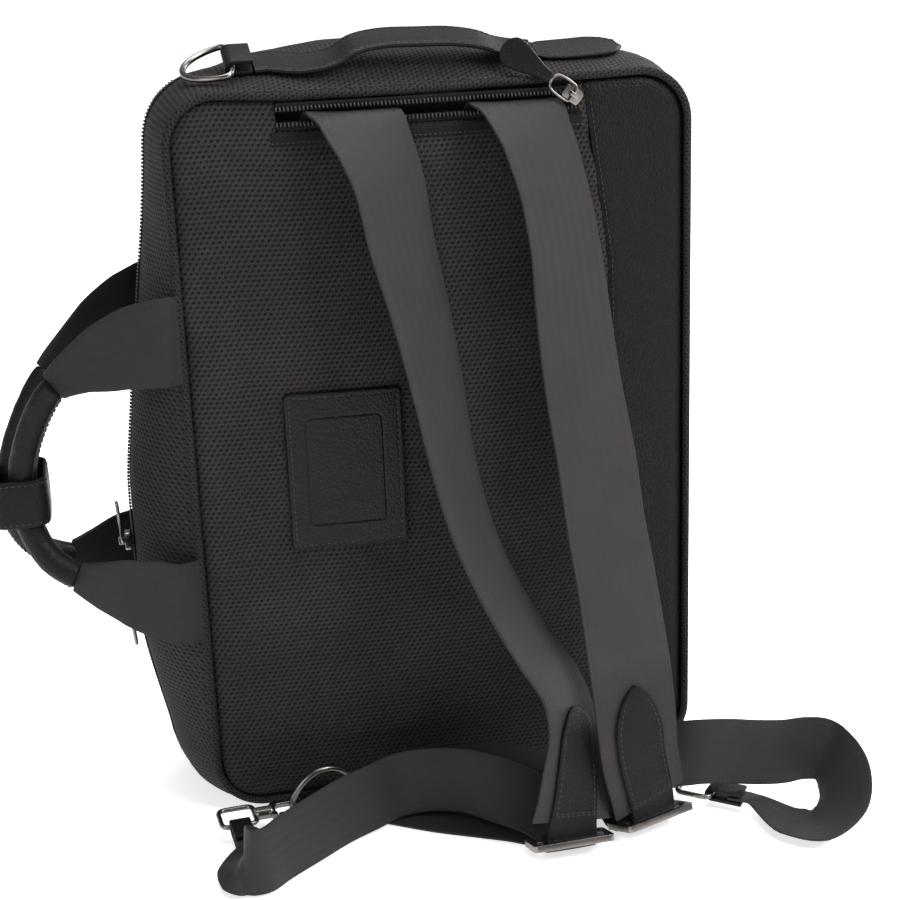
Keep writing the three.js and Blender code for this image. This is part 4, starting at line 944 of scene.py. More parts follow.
class MESH_OT_backpack_panels(bpy.types.Operator):
    """Near and far panels with their leather bands, and the wall behind the strap pocket"""

    bl_idname = "mesh.backpack_panels"
    bl_label = "Panels"

    def execute(self, context):
        looks = finishes()
        settle()
        heights = sorted(panel_heights(PANEL_STEPS) + [MOUTH_LOW])
        mouth_row = heights.index(MOUTH_LOW)
        left, right = MOUTH_OFFSET - MOUTH_WIDTH / 2, MOUTH_OFFSET + MOUTH_WIDTH / 2
        cloth = lambda z: spacing([-side_edge(z), left, right, band_edge(z) - SEAT], MOUTH_COLUMNS)
        mouth = range(MOUTH_COLUMNS[0], sum(MOUTH_COLUMNS[:2]))
        band = lambda z: spacing([band_edge(z), side_edge(z)], [BAND_COLUMNS])
        whole = lambda z: spacing([TUCK - side_edge(z), side_edge(z) - TUCK], [30])
        sag = lambda x, z: seam_shift(x, z, -NEAR_SAG, SAG)
        by_mouth = lambda x, z: 0.0 if z == MOUTH_LOW and left - 1 < x < right + 1 else sag(x, z)
        panel("near_panel_cloth", looks["cloth"], "back_panel_cloth", cloth, heights, near_y, PAD - 0.6,
              by_mouth, lambda i, j: i >= mouth_row and j in mouth)
        panel("near_panel_leather", looks["leather"], "back_panel_leather", band, panel_heights(PANEL_STEPS),
              near_y, PAD - 0.6, sag, slot="leather")
        rise = lambda x, z: seam_shift(x, z, FAR_RISE, RISE)
        far_cloth = lambda z: spacing([-side_edge(z), band_edge(z) - SEAT], [60])
        heights = panel_heights(80)
        panel("far_panel_cloth", looks["cloth"], "front_panel_cloth", far_cloth, heights, far_y, PAD, rise)
        panel("far_panel_leather", looks["leather"], "front_panel_leather", band, heights, far_y, PAD, rise,
              slot="leather")

        def dished(x, z):
            ends = min(z - SEAM_LIFT - RIM_INSET, SEAM_TOP - RIM_INSET - z)
            share = min(max(min(side_edge(z) - abs(x), ends) / 26.0, 0), 1)
            return RIM_FRONT + PAD + SEAT + 12.0 * math.sin(share * math.pi / 2)

        panel("pocket_back", looks["lining"], "pocket_wall", whole, panel_heights(40), dished, 3.6, sag,
              slot="lining")
        places = [(band_edge(z) + 2.4, z) for z in spacing([16, 405], [120])]
        seam = [(Vector((x, near_y(x, z) - 0.12, z)), Vector((0, -1, 0))) for x, z in places]
        far_seam = [(Vector((x, far_y(x, z) + 0.12, z)), Vector((0, 1, 0))) for x, z in places]
        stitches("panel_seam_stitches", [seam, far_seam])
        return {"FINISHED"}


GUSSET_STEPS = {"bottom": 34, "left": 84, "top": 56, "right": 56}
CORNER_STEPS = 12
PIPING_SIDES = 14
LEATHER_WAVE = 0.25


class MESH_OT_backpack_gusset(bpy.types.Operator):
    """Gusset round the bag, its leather base strip, the piping and their stitching"""

    bl_idname = "mesh.backpack_gusset"
    bl_label = "Gusset and piping"

    def execute(self, context):
        looks = finishes()
        rows, marks = seam_stations(GUSSET_STEPS, CORNER_STEPS)
        total = len(rows)
        edge = HALF_DEPTH - RIM_INSET + TUCK
        half = [edge * s for s in (1, 0.96, 0.9, 0.8, 0.68, 0.56, 0.44, 0.32, 0.22)] + [ZIP_SLOT / 2]
        ys = [-y for y in half] + half[::-1]
        middle = len(half) - 1
        size = context.scene.backpack_detail.pucker / MM

        def lump(row, y, along):
            """Height of the waves, none at the seams, by the zip and on the floor."""
            if row[1] <= SEAM_LIFT + 1:
                return 0.0
            calm = min(max((abs(y) - ZIP_SLOT / 2) / 9.0, 0), 1) * (1 - (y / HALF_DEPTH) ** 2)
            broad, fine = Vector((along / 26.0, y / 17.0, 21.0)), Vector((along / 9.0, y / 12.0, 4.0))
            return size * 1.5 * calm * (noise.noise(broad) + 0.5 * noise.noise(fine))

        def piece(name, node, places, wall, finish, slot, is_open=None, wave=1.0):
            along, outer, inner, uvs = 0.0, [], [], []
            for k, row in enumerate(places):
                along += math.dist(row[:2], places[k - 1][:2]) if k else 0.0
                shifts = [away_from(row) * (wave * lump(row, y, along)) for y in ys]
                outer.append([gusset_point(row, y) + shift for y, shift in zip(ys, shifts)])
                inner.append([gusset_point(row, y, wall) + shift for y, shift in zip(ys, shifts)])
                uvs.append([(y, along) for y in ys])
            place(walled(name, outer, inner, uvs, is_open), finish, node, slot)

        run = lambda first, last: [rows[i % total] for i in range(first, last + 1)]
        low, high = marks["bottom_right"] - 3, marks["right"] + 6
        zip_from, zip_to = marks["bottom_left"] + 3 + total - low, marks["top"] - 3 + total - low
        piece("gusset_body", "gusset_cloth", run(low, high + total), 2.0, looks["cloth"], "mesh_cloth",
              lambda i, j: j == middle and zip_from <= i < zip_to)
        piece("gusset_base", "gusset_leather", run(high, low), 2.2, looks["leather"], "leather",
              wave=LEATHER_WAVE)
        turns = [TAU * k / PIPING_SIDES for k in range(PIPING_SIDES)]
        section = [(PIPING * math.sin(a), PIPING * math.cos(a)) for a in turns]
        spread = [PIPING * a for a in turns]
        for side, y, lean in (("near", -HALF_DEPTH, 1), ("far", HALF_DEPTH, 0)):
            path = [Vector((r[0], y, r[1] + r[5] * lean + r[6] * (1 - lean))) for r in rows]
            cord = closed_sweep(f"{side}_piping", path, Vector((0, 1, 0)), section, spread)
            place(cord, looks["piping"], f"piping_{side}", "mesh_cloth")
        lifted = [row for row in rows + rows[:1] if row[1] > SEAM_LIFT + 4]
        stitches("gusset_seam_stitches", [
            [(gusset_point(row, y) + away_from(row) * 0.18, away_from(row)) for row in lifted]
            for y in (2.6 - edge, edge - 2.6)])
        return {"FINISHED"}


def ribbon(name, points, across, normal, half, depth, crown=0.0):
    """Straight or bent strip through points, with fixed directions."""
    frames, run = [], 0.0
    for i, p in enumerate(points):
        run += (p - points[i - 1]).length if i else 0.0
        frames.append({"centre": p, "across": across, "normal": normal, "run": run})
    return sweep(name, frames, lambda f, t: strip_ring(half, depth, crown, 4))


TOOTH_OFFSET, TOOTH_LIFT = 1.35, 0.45
PULL_START, PULL_LENGTH, PULL_WIDTH, PULL_TURN = 15.9 + SEAT, 30, 17, 38  # the pocket zip's leather pull
PULL_ROUND = 0.8  # share of its length where its end starts to round
FACING_DROP, FACING_HALF = 4.4, 3.9


class MESH_OT_backpack_zips(bpy.types.Operator):
    """Main zip round the gusset and the strap pocket's zip, with teeth, sliders and pulls"""

    bl_idname = "mesh.backpack_zips"
    bl_label = "Zips"

    def execute(self, context):
        looks = finishes()
        rows, marks = seam_stations(GUSSET_STEPS, CORNER_STEPS)
        run = rows[marks["bottom_left"] + 3:marks["top"] - 2]
        outer, inner, uvs, along = [], [], [], 0.0
        ys = spacing([SEAT - ZIP_SLOT / 2, ZIP_SLOT / 2 - SEAT], [6])
        for k, row in enumerate(run):
            along += math.dist(row[:2], run[k - 1][:2]) if k else 0.0
            outer.append([gusset_point(row, y, SEAT + 0.15) for y in ys])
            inner.append([gusset_point(row, y, SEAT + 1.35) for y in ys])
            uvs.append([(y, along) for y in ys])
        place(walled("zip_tape", outer, inner, uvs), looks["tape"], "main_zip_tape", "zip_tape")
        lines = [[(gusset_point(row, y) + away_from(row) * TOOTH_LIFT, away_from(row)) for row in run[1:-1]]
                 for y in (-TOOTH_OFFSET, TOOTH_OFFSET)]
        (first, up), (second, _) = lines[1][:2]
        lines[1][0] = (first.lerp(second, 0.35), up)
        teeth("zip_teeth", lines, "main_zip_coil")
        self.pocket(looks)
        for name in ("main_high_slider", "main_low_slider", "pocket_slider"):
            metal(rounded_copy(f"{name}_cast", name, 0.35), name)
        for name in ("main_high_pull", "main_low_pull"):
            metal(wire_copy(f"{name}_wire", name, 0.45), name, name)
        metal(wire_copy("pull_loop", "pocket_pull_wire", 0.2), "pocket_pull_wire", "pocket_pull")
        self.leather_pull()
        return {"FINISHED"}

    def pocket(self, looks):
        left, right = MOUTH_OFFSET - MOUTH_WIDTH / 2 + 0.6, MOUTH_OFFSET + MOUTH_WIDTH / 2 - 0.6
        face = near_face(MOUTH_OFFSET, MOUTH_LOW)
        up, out = Vector((0, 0, 1)), Vector((0, -1, 0))
        levels = {"low": (MOUTH_LOW + 0.3, 1, "pocket_tape_low", "pocket_coil_low"),
                  "high": (MOUTH_TOP - 0.3, -1, "pocket_tape_high", "pocket_coil_high")}
        for name, (z, way, tape, coil) in levels.items():
            xs = spacing([left, right], [40])
            wave = lambda x: 0.25 * math.sin(x / 9.0)
            points = [Vector((x, face + 1.2 + wave(x), z + way * 2.3)) for x in xs]
            place(ribbon(f"mouth_tape_{name}", points, up, out, 2.3, 0.5), looks["tape"], tape, "zip_tape")
            line = [(Vector((x, face - 0.1 + wave(x), z + way * 3.1)), out) for x in xs]
            teeth(f"mouth_teeth_{name}", [line], coil)
        xs = spacing([left - 3, right + 1.5], [60])
        z = MOUTH_LOW - FACING_DROP
        points = [Vector((x, near_y(x, z) - 0.2, z)) for x in xs]
        place(ribbon("mouth_facing", points, up, out, FACING_HALF, 0.6, 0.15), looks["tape"])
        line = [(Vector((p.x, p.y - 0.72, p.z - 1.9)), out) for p in points]
        stitches("mouth_stitches", [line], share=0.8)

    def leather_pull(self):
        face = near_face(MOUTH_OFFSET, MOUTH_LOW) - SEAT - 0.9
        origin = Vector((MOUTH_OFFSET + MOUTH_WIDTH / 2 - 5.5, face - SEAT, MOUTH_TOP - 4.6))
        turn = Matrix.Rotation(math.radians(PULL_TURN), 4, "Y") @ Matrix.Rotation(math.pi / 2, 4, "X")
        local = Matrix.Translation((0, 0, 3.4 + 1.3)) @ Matrix.Rotation(math.pi - 0.2, 4, "Y")
        way = Matrix.Translation(origin) @ turn @ local
        across = (way.to_3x3() @ Vector((0, 1, 0))).normalized()
        frames, count = [], 30
        for k in range(count + 1):
            t = k / count
            centre = Vector((PULL_START + t * PULL_LENGTH, 0, 9 * t * t))
            width = PULL_WIDTH * (0.40 + 0.60 * math.sin(min(t / PULL_ROUND, 1) * math.pi / 2) ** 2)
            if t > PULL_ROUND:
                width *= math.sqrt(max(1 - ((t - PULL_ROUND) / 0.205) ** 2, 0.0))
            normal = (way.to_3x3() @ Vector((-18 * t / PULL_LENGTH, 0, 1))).normalized()
            frames.append({"centre": way @ centre, "across": across, "normal": normal, "run": t * PULL_LENGTH,
                           "width": max(width, 1.5)})
        ring = lambda f, t: strip_ring(f["width"] / 2, min(1.1, f["width"] / 3), 0.35)
        leather(sweep("pull_leather", frames, ring), "pocket_pull_leather", body="pocket_pull")
        stitches("pull_stitches", border(frames, 1.9, 1.35, 3, 27), "pocket_pull", 0.7)


def border(frames, inset, lift, first, last):
    """Lines down both sides of a strip, joined round its far end where it narrows."""
    chosen = frames[first:last]

    def side(way):
        reach = lambda f: f["across"] * (way * max(f["width"] / 2 - inset, 0.2))
        return [(f["centre"] + reach(f) + f["normal"] * lift, f["normal"]) for f in chosen]

    return [side(-1) + side(1)[::-1]]


# Straps and bands

LEFT_STRAP = [
    # across, out, up, turn
    (-0.33, -0.142, 0.905, 0), (-0.33, -0.1, 0.94, 0), (-0.32, -0.035, 0.9665, 1), (-0.305, 0.04, 0.9685, 3),
    (-0.285, 0.125, 0.962, 12), (-0.25, 0.19, 0.933, 24), (-0.207, 0.24, 0.885, 32), (-0.172, 0.27, 0.805, 36),
    (-0.124, 0.3, 0.726, 41), (-0.069, 0.34, 0.615, 46), (-0.028, 0.39, 0.514, 51), (0.021, 0.455, 0.43, 54),
    (0.103, 0.552, 0.346, 56), (0.214, 0.69, 0.267, 56), (0.303, 0.819, 0.216, 53), (0.331, 0.875, 0.171, 46),
    (0.331, 0.905, 0.132, 38), (0.315, 0.965, 0.07, 24), (0.3, 0.995, 0.036, 14),
]
RIGHT_STRAP = [
    (0.29, -0.165, 0.905, 0), (0.29, -0.12, 0.94, 0), (0.3, -0.04, 0.9665, 1), (0.312, 0.045, 0.9685, 3),
    (0.332, 0.14, 0.962, 12), (0.362, 0.215, 0.933, 24), (0.414, 0.265, 0.868, 28), (0.455, 0.29, 0.786, 26),
    (0.476, 0.315, 0.704, 20), (0.503, 0.38, 0.596, 16), (0.538, 0.47, 0.495, 12), (0.552, 0.582, 0.413, 12),
    (0.572, 0.708, 0.332, 10), (0.579, 0.871, 0.257, 8), (0.579, 0.965, 0.221, 8), (0.593, 1.015, 0.149, 10),
    (0.607, 1.02, 0.099, 14), (0.63, 1.02, 0.06, 18), (0.645, 1.01, 0.034, 20),
]
LEFT_BAND = [
    # across, out, lift, heading, tilt, width
    (-0.965, 0.76, 0.32, 0, 24, 0.8), (-0.965, 0.84, 0.42, 5, 50, 1), (-0.96, 0.915, 0.52, 20, 76, 1),
    (-0.93, 0.965, 0.54, 60, 82, 1), (-0.88, 0.955, 0.54, 110, 82, 1), (-0.8, 0.84, 0.53, 127, 80, 1),
    (-0.66, 0.665, 0.52, 130, 76, 1), (-0.54, 0.53, 0.525, 125, 75, 1), (-0.42, 0.435, 0.54, 118, 75, 1),
    (-0.3, 0.355, 0.58, 108, 75, 1), (-0.17, 0.37, 0.62, 95, 76, 1), (-0.035, 0.44, 0.62, 85, 74, 1),
    (0.07, 0.54, 0.57, 72, 62, 1), (0.16, 0.64, 0.5, 50, 44, 1), (0.235, 0.74, 0.4, 14, 16, 1),
]
LEFT_END = [
    (0.27, 0.78, 0.034, 8, 0, 1), (0.17, 0.66, 0.034, 28, 0, 1), (0.04, 0.55, 0.034, 46, 0, 1),
    (-0.12, 0.42, 0.034, 56, 0, 1), (-0.29, 0.25, 0.034, 58, 0, 1),
]
RIGHT_BAND = [
    (0.64, 0.72, 0.46, 34, 22, 1), (0.735, 0.7, 0.8, 60, 55, 1), (0.86, 0.77, 0.9, 85, 72, 1),
    (1, 0.83, 0.92, 92, 74, 1), (1.13, 0.84, 0.84, 95, 74, 1), (1.25, 0.82, 0.76, 90, 76, 1),
    (1.35, 0.8, 0.74, 60, 78, 1), (1.42, 0.84, 0.72, 20, 74, 1), (1.44, 0.98, 0.66, 0, 62, 1),
    (1.43, 1.165, 0.5, -30, 44, 1), (1.37, 1.32, 0.3, -55, 22, 1), (1.27, 1.375, 0.16, -90, 6, 1),
    (1.18, 1.26, 0.15, -120, 0, 0.85),
]
RIGHT_END = [
    (0.56, 0.72, 0.245, 42, 13, 1), (0.42, 0.61, 0.385, 53, 22, 1), (0.28, 0.48, 0.46, 58, 28, 1),
    (0.14, 0.38, 0.54, 64, 32, 1), (0.02, 0.31, 0.54, 76, 32, 1), (-0.1, 0.28, 0.44, 90, 30, 1),
]
LEFT_FOLD = [(-136.02, -97.10, 9.15, -4, 0, 12, 1.8), (-135.04, -111.07, 9.15, -4, 0, 12, 1.8)]
RIGHT_FOLD = [(147.13, -127.70, 8.2, -125, 0, 12, 1.8), (157.85, -136.70, 8.2, -125, 0, 12, 1.8)]


def slide_place(x, out, heading):
    tilt, turn = math.radians(SLIDE_TILT), math.radians(heading)
    centre = Vector((x, -HALF_DEPTH - out, TURN_RADIUS + WEB_THICK / 2 + SEAT + BAR_PITCH * math.sin(tilt)))
    away = Vector((-math.sin(turn), math.cos(turn), 0))
    far_bar = centre + away * (BAR_PITCH * math.cos(tilt)) - Vector((0, 0, BAR_PITCH * math.sin(tilt)))
    bar = Vector((math.cos(turn), math.sin(turn), 0))
    return {"centre": centre, "far_bar": far_bar, "away": away, "bar": bar, "heading": heading}


def wide_rows(table, reach):
    return [(a * HALF_WIDTH, -HALF_DEPTH - o * reach, SEAM_LIFT + u * HEIGHT, turn, 0, WIDE, WEB_THICK)
            for a, o, u, turn in table]


def narrow_rows(table, reach):
    return [(a * HALF_WIDTH, -HALF_DEPTH - o * reach, lift * NARROW, heading, tilt, w * NARROW, WEB_THICK)
            for a, o, lift, heading, tilt, w in table]


def turn_rows(slide):
    def row(away, up):
        p = slide["far_bar"] + slide["away"] * away
        return (p.x, p.y, p.z + up, slide["heading"], 0, NARROW, WEB_THICK)

    around = [row(TURN_RADIUS * math.cos(math.radians(a)), TURN_RADIUS * math.sin(math.radians(a)))
              for a in (80, 125, 180, 235, 280)]
    return [row(2 * TURN_RADIUS, TURN_RADIUS + WEB_THICK), *around, row(2 * TURN_RADIUS, SEAT - TURN_RADIUS)]


def flat_strip(crown=0.0, columns=10):
    return lambda f, t: strip_ring(f["width"] / 2, f["thick"] / 2, crown, columns)


class MESH_OT_backpack_straps(bpy.types.Operator):
    """Wide straps with their pointed tabs, and the narrow bands"""

    bl_idname = "mesh.backpack_straps"
    bl_label = "Straps"

    def execute(self, context):
        left, right = slide_place(42, LEFT_REACH, 2), slide_place(94, RIGHT_REACH, 21)
        self.wide("left", LEFT_STRAP, LEFT_REACH, left, 84)
        self.wide("right", RIGHT_STRAP, RIGHT_REACH, right, 96)
        bands = {
            "left": LEFT_FOLD + narrow_rows(LEFT_BAND, LEFT_REACH) + turn_rows(left)
            + narrow_rows(LEFT_END, LEFT_REACH),
            "right": RIGHT_FOLD + narrow_rows(RIGHT_BAND, RIGHT_REACH)[::-1] + turn_rows(right)
            + narrow_rows(RIGHT_END, RIGHT_REACH),
        }
        for name, rows in bands.items():
            frames = path_frames(rows, 8 * len(rows))
            webbed(sweep(f"{name}_webbing", frames, flat_strip()), f"{name}_band", "narrow")
        return {"FINISHED"}

    def wide(self, name, table, reach, slide, tip_height):
        """A wide strap, and the pointed tab that starts below a height and rolls round the slide."""
        rows = wide_rows(table, reach)
        webbed(sweep(f"{name}_wide_webbing", path_frames(rows, 170), flat_strip()), f"{name}_strap", "wide")
        probes, steps, tip_share = 90, 64, 0.27
        tip = next(i for i, f in enumerate(path_frames(rows, probes))
                   if f["centre"].z < tip_height and f["centre"].y < -HALF_DEPTH - reach / 2) / probes
        frames = path_frames(rows, steps, tip, 1)
        lift = -(WEB_THICK + TAB_THICK) / 2 - TAB_GAP * 0.5
        for i, f in enumerate(frames):
            share = min(i / steps / tip_share, 1)
            f["centre"] = f["centre"] + f["normal"] * lift
            f["width"] = TAB_WIDTH * (0.04 + 0.96 * (1 - (1 - share) ** 2.1) ** 0.75)
        seams = [[(p, -up) for p, up in line] for line in border(frames, 2.4, -TAB_THICK / 2 - 0.08, 5, 60)]
        f, reach = frames[57], TAB_WIDTH / 2 - 3
        seams.append([(f["centre"] + f["across"] * a - f["normal"] * (TAB_THICK / 2 + 0.1), -f["normal"])
                      for a in spacing([-reach, reach], [8])])
        frames += self.roll(slide, frames[-1])
        ring = lambda f, t: strip_ring(f["width"] / 2, TAB_THICK / 2, -0.25)
        leather(sweep(f"{name}_tab_leather", frames, ring), f"{name}_tab")
        stitches(f"{name}_tab_stitches", seams)

    def roll(self, slide, last):
        frames, radius, run = [], ROLL_RADIUS - TAB_THICK / 2, last["run"]
        for k in range(25):
            angle = math.radians(178 + 312 * k / 24)
            out = slide["away"] * math.cos(angle) + Vector((0, 0, math.sin(angle)))
            along = Vector((0, 0, math.cos(angle))) - slide["away"] * math.sin(angle)
            run += radius * math.radians(13) if k else 3.0
            frames.append({"centre": slide["centre"] + out * radius, "across": slide["bar"],
                           "normal": slide["bar"].cross(along).normalized(), "run": run, "width": TAB_WIDTH})
        return frames


# Carry handles

HANDLE = [
    # out, side, up, width, thickness
    (0.005, 1.015, 0, 1, 1), (0.11, 1.08, 0, 1, 1), (0.27, 0.96, 0.012, 0.97, 1),
    (0.45, 0.8, 0.035, 0.82, 1.2), (0.6, 0.62, 0.05, 0.6, 1.8), (0.72, 0.48, 0.075, 0.4, 3),
    (0.87, 0.36, 0.14, 0.3, 4), (0.97, 0.27, 0.26, 0.3, 4), (1, 0.24, 0.38, 0.3, 4),
    (0.975, 0.26, 0.53, 0.3, 4), (0.88, 0.34, 0.69, 0.3, 4), (0.75, 0.46, 0.82, 0.36, 3),
    (0.61, 0.6, 0.885, 0.54, 1.8), (0.46, 0.78, 0.935, 0.76, 1.2), (0.27, 0.95, 0.98, 0.93, 1),
    (0.11, 1.08, 1, 1, 1), (0.005, 1.015, 1, 1, 1),
]
GRIP_FROM, GRIP_TO, GRIP_GAP = 0.315, 0.69, 0.0012
GRIP_WIDTH, GRIP_DEPTH, HANDLE_REACH, FAR_DRIFT = 16.0, 17.0, 95.0, 8.0
HANDLE_FOOT, HANDLE_SPAN = 138.0, 153.0
WRAP_AT, WRAP_HALF, WRAP_CORNER, WRAP_RISE = Vector((-242.5, 0, 196.1)), (15.6, 23.4), 8.5, 11.6


class MESH_OT_backpack_handles(bpy.types.Operator):
    """Carry handles with their padded leather grips and the wrap that holds them together"""

    bl_idname = "mesh.backpack_handles"
    bl_label = "Carry handles"

    def execute(self, context):
        for name, side, drift in (("near", -1, 0.0), ("far", 1, FAR_DRIFT)):
            rows = [(-HALF_WIDTH - out * HANDLE_REACH - drift * out * out, side * depth * HALF_DEPTH,
                     HANDLE_FOOT + up * HANDLE_SPAN - drift * out * out, 90, 90, w * WIDE, t * WEB_THICK)
                    for out, depth, up, w, t in HANDLE]
            for end, a, b in (("low", 0, GRIP_FROM - GRIP_GAP), ("high", GRIP_TO + GRIP_GAP, 1)):
                foot = sweep(f"{name}_webbing_{end}", path_frames(rows, 60, a, b), flat_strip())
                webbed(foot, f"{name}_foot_{end}", "feet")
            self.grip(name, side, path_frames(rows, 110, GRIP_FROM, GRIP_TO))
        self.wrap()
        return {"FINISHED"}

    def grip(self, name, side, frames):
        """Padded leather grip, creased and pinched along its sewn seam."""
        sides = 28

        def girth(f, angle):
            a, b = GRIP_WIDTH / 2 * math.cos(angle), GRIP_DEPTH / 2 * math.sin(angle)
            return f["across"] * a + f["normal"] * b

        def ring(f, t):
            ends = 0.86 + 0.14 * math.sqrt(max(1 - (abs(2 * t - 1) ** 14), 0.0))
            section = []
            for k in range(sides):
                angle = TAU * k / sides
                seam = math.exp(-((angle - math.pi) / 0.13) ** 2)
                fold = noise.noise(Vector((angle * 0.9, f["run"] / 7.0, 11 + side)))
                fold += 0.6 * noise.noise(Vector((angle * 1.6, f["run"] / 3.4, 31 + side)))
                radius = ends * (1 - 0.07 * seam) - 0.03 + 0.035 * fold
                section.append((GRIP_WIDTH / 2 * math.cos(angle) * radius,
                                GRIP_DEPTH / 2 * math.sin(angle) * radius))
            return section

        obj = leather(sweep(f"{name}_grip_leather", frames, ring, 60), f"{name}_grip")
        lines = [[(f["centre"] + girth(f, angle) * 0.985, girth(f, angle).normalized()) for f in frames[2:-2]]
                 for angle in (math.pi - 0.3, math.pi + 0.3)]
        stitches(f"{name}_grip_stitches", lines)

    def wrap(self):
        up = Vector((0, 0, 1))
        corners = corner_points(*WRAP_HALF, WRAP_CORNER, 8)
        path = even_loop([WRAP_AT + Vector((a, b, 0)) for a, b in corners], 110)
        leather(closed_sweep("handle_wrap_leather", path, up, strip_ring(14, 1.1, 0.55, 10)), "handle_wrap")
        around = []
        for i, p in enumerate(path):
            out = (path[(i + 1) % len(path)] - path[i - 1]).normalized().cross(up).normalized()
            around.append((p + out * 1.35, out))
        around.append(around[0])
        rises = (-WRAP_RISE, WRAP_RISE)
        stitches("wrap_stitches", [[(p + up * rise, out) for p, out in around] for rise in rises])


def corner_points(half_a, half_b, radius, steps):
    """Points (a, b) round the corners of a rectangle with rounded corners."""
    points = []
    for way_a, way_b, start in ((1, 1, 0), (-1, 1, 90), (-1, -1, 180), (1, -1, 270)):
        for k in range(steps + 1):
            angle = math.radians(start + 90 * k / steps)
            points.append((way_a * (half_a - radius) + radius * math.cos(angle),
                           way_b * (half_b - radius) + radius * math.sin(angle)))
    return points


def even_loop(path, count):
    """Evenly spaced points round a closed path."""
    lengths = [0.0]
    loop = path + path[:1]
    for a, b in zip(loop, loop[1:]):
        lengths.append(lengths[-1] + (b - a).length)
    marks = [lengths[-1] * k / count for k in range(count)]
    axes = [np.interp(marks, lengths, [p[i] for p in loop]) for i in range(3)]
    return [Vector(p) for p in zip(*axes)]


def closed_sweep(name, path, flat, section, spread=None):
    """A section of (along flat, outward) swept round a closed flat path, with its pattern coordinates."""
    points, uvs, faces, run, count = [], [], [], 0.0, len(path)
    sides = len(section)
    for i, p in enumerate(path):
        out = (path[(i + 1) % count] - path[i - 1]).normalized().cross(flat).normalized()
        run += (p - path[i - 1]).length if i else 0.0
        for k, (a, b) in enumerate(section):
            points.append(p + flat * a + out * b)
            uvs.append((spread[k] if spread else a, run))
            c = ((i + 1) % count) * sides
            faces.append((i * sides + k, i * sides + (k + 1) % sides, c + (k + 1) % sides, c + k))
    return solid(name, points, faces, uvs)


# Rings, hooks, slides, keepers

class MESH_OT_backpack_fittings(bpy.types.Operator):
    """Rings, hooks with their gates, slides and the leather keepers and folds that hold them"""

    bl_idname = "mesh.backpack_fittings"
    bl_label = "Fittings"

    def execute(self, context):
        for side in ("left", "right"):
            metal(wire_copy(f"{side}_d_ring", f"{side}_ring", 0.3), f"{side}_ring")
            metal(cast_copy(f"{side}_hook_cast", f"{side}_hook"), f"{side}_hook")
            metal(rounded_copy(f"{side}_gate_cast", f"{side}_gate", 0.3, 2), f"{side}_gate", f"{side}_gate")
            metal(rounded_copy(f"{side}_slide_cast", f"{side}_slide", 1.15, 4), f"{side}_slide")
            for kind in ("keeper", "fold"):
                leather(rounded_copy(f"{side}_{kind}_leather", f"{side}_{kind}"), f"{side}_{kind}")
        metal(wire_copy("top_d_ring", "top_ring", 0.3), "top_ring", "top_ring")
        leather(rounded_copy("top_keeper_leather", "top_keeper"), "top_keeper")
        return {"FINISHED"}


# Top handle and patch

TOP_HANDLE = [
    # along, depth, rise
    (0, -0.42, 0), (0.06, -0.42, 0), (0.17, -0.55, 0.02), (0.27, -0.6, 0.25), (0.35, -0.58, 0.78),
    (0.45, -0.56, 1), (0.58, -0.56, 1), (0.7, -0.56, 0.95), (0.8, -0.56, 0.72), (0.87, -0.53, 0.34),
    (0.94, -0.46, 0.06), (1, -0.46, 0),
]
TOP_TILT, TOP_WIDTH, TOP_FROM, TOP_LENGTH = 18.0, 25.0, -92.8, 156.0
TOP_THICK, TOP_RISE, END_LENGTH, END_THICK = 3.0, 11.0, 52.0, 2.2
TOP_END = ((0, 0.7), (0.1, 0.92), (0.3, 1), (0.7, 1), (0.88, 0.8), (1, 0.4))


def top_rest(x_from, x_to, y, half):
    lean = math.tan(math.radians(TOP_TILT))
    return SEAT + max(top_face(x_from + (x_to - x_from) * i / 4, y + half * k / 2) - half * k / 2 * lean
                      for i in range(5) for k in (-2, -1, 0, 1, 2))


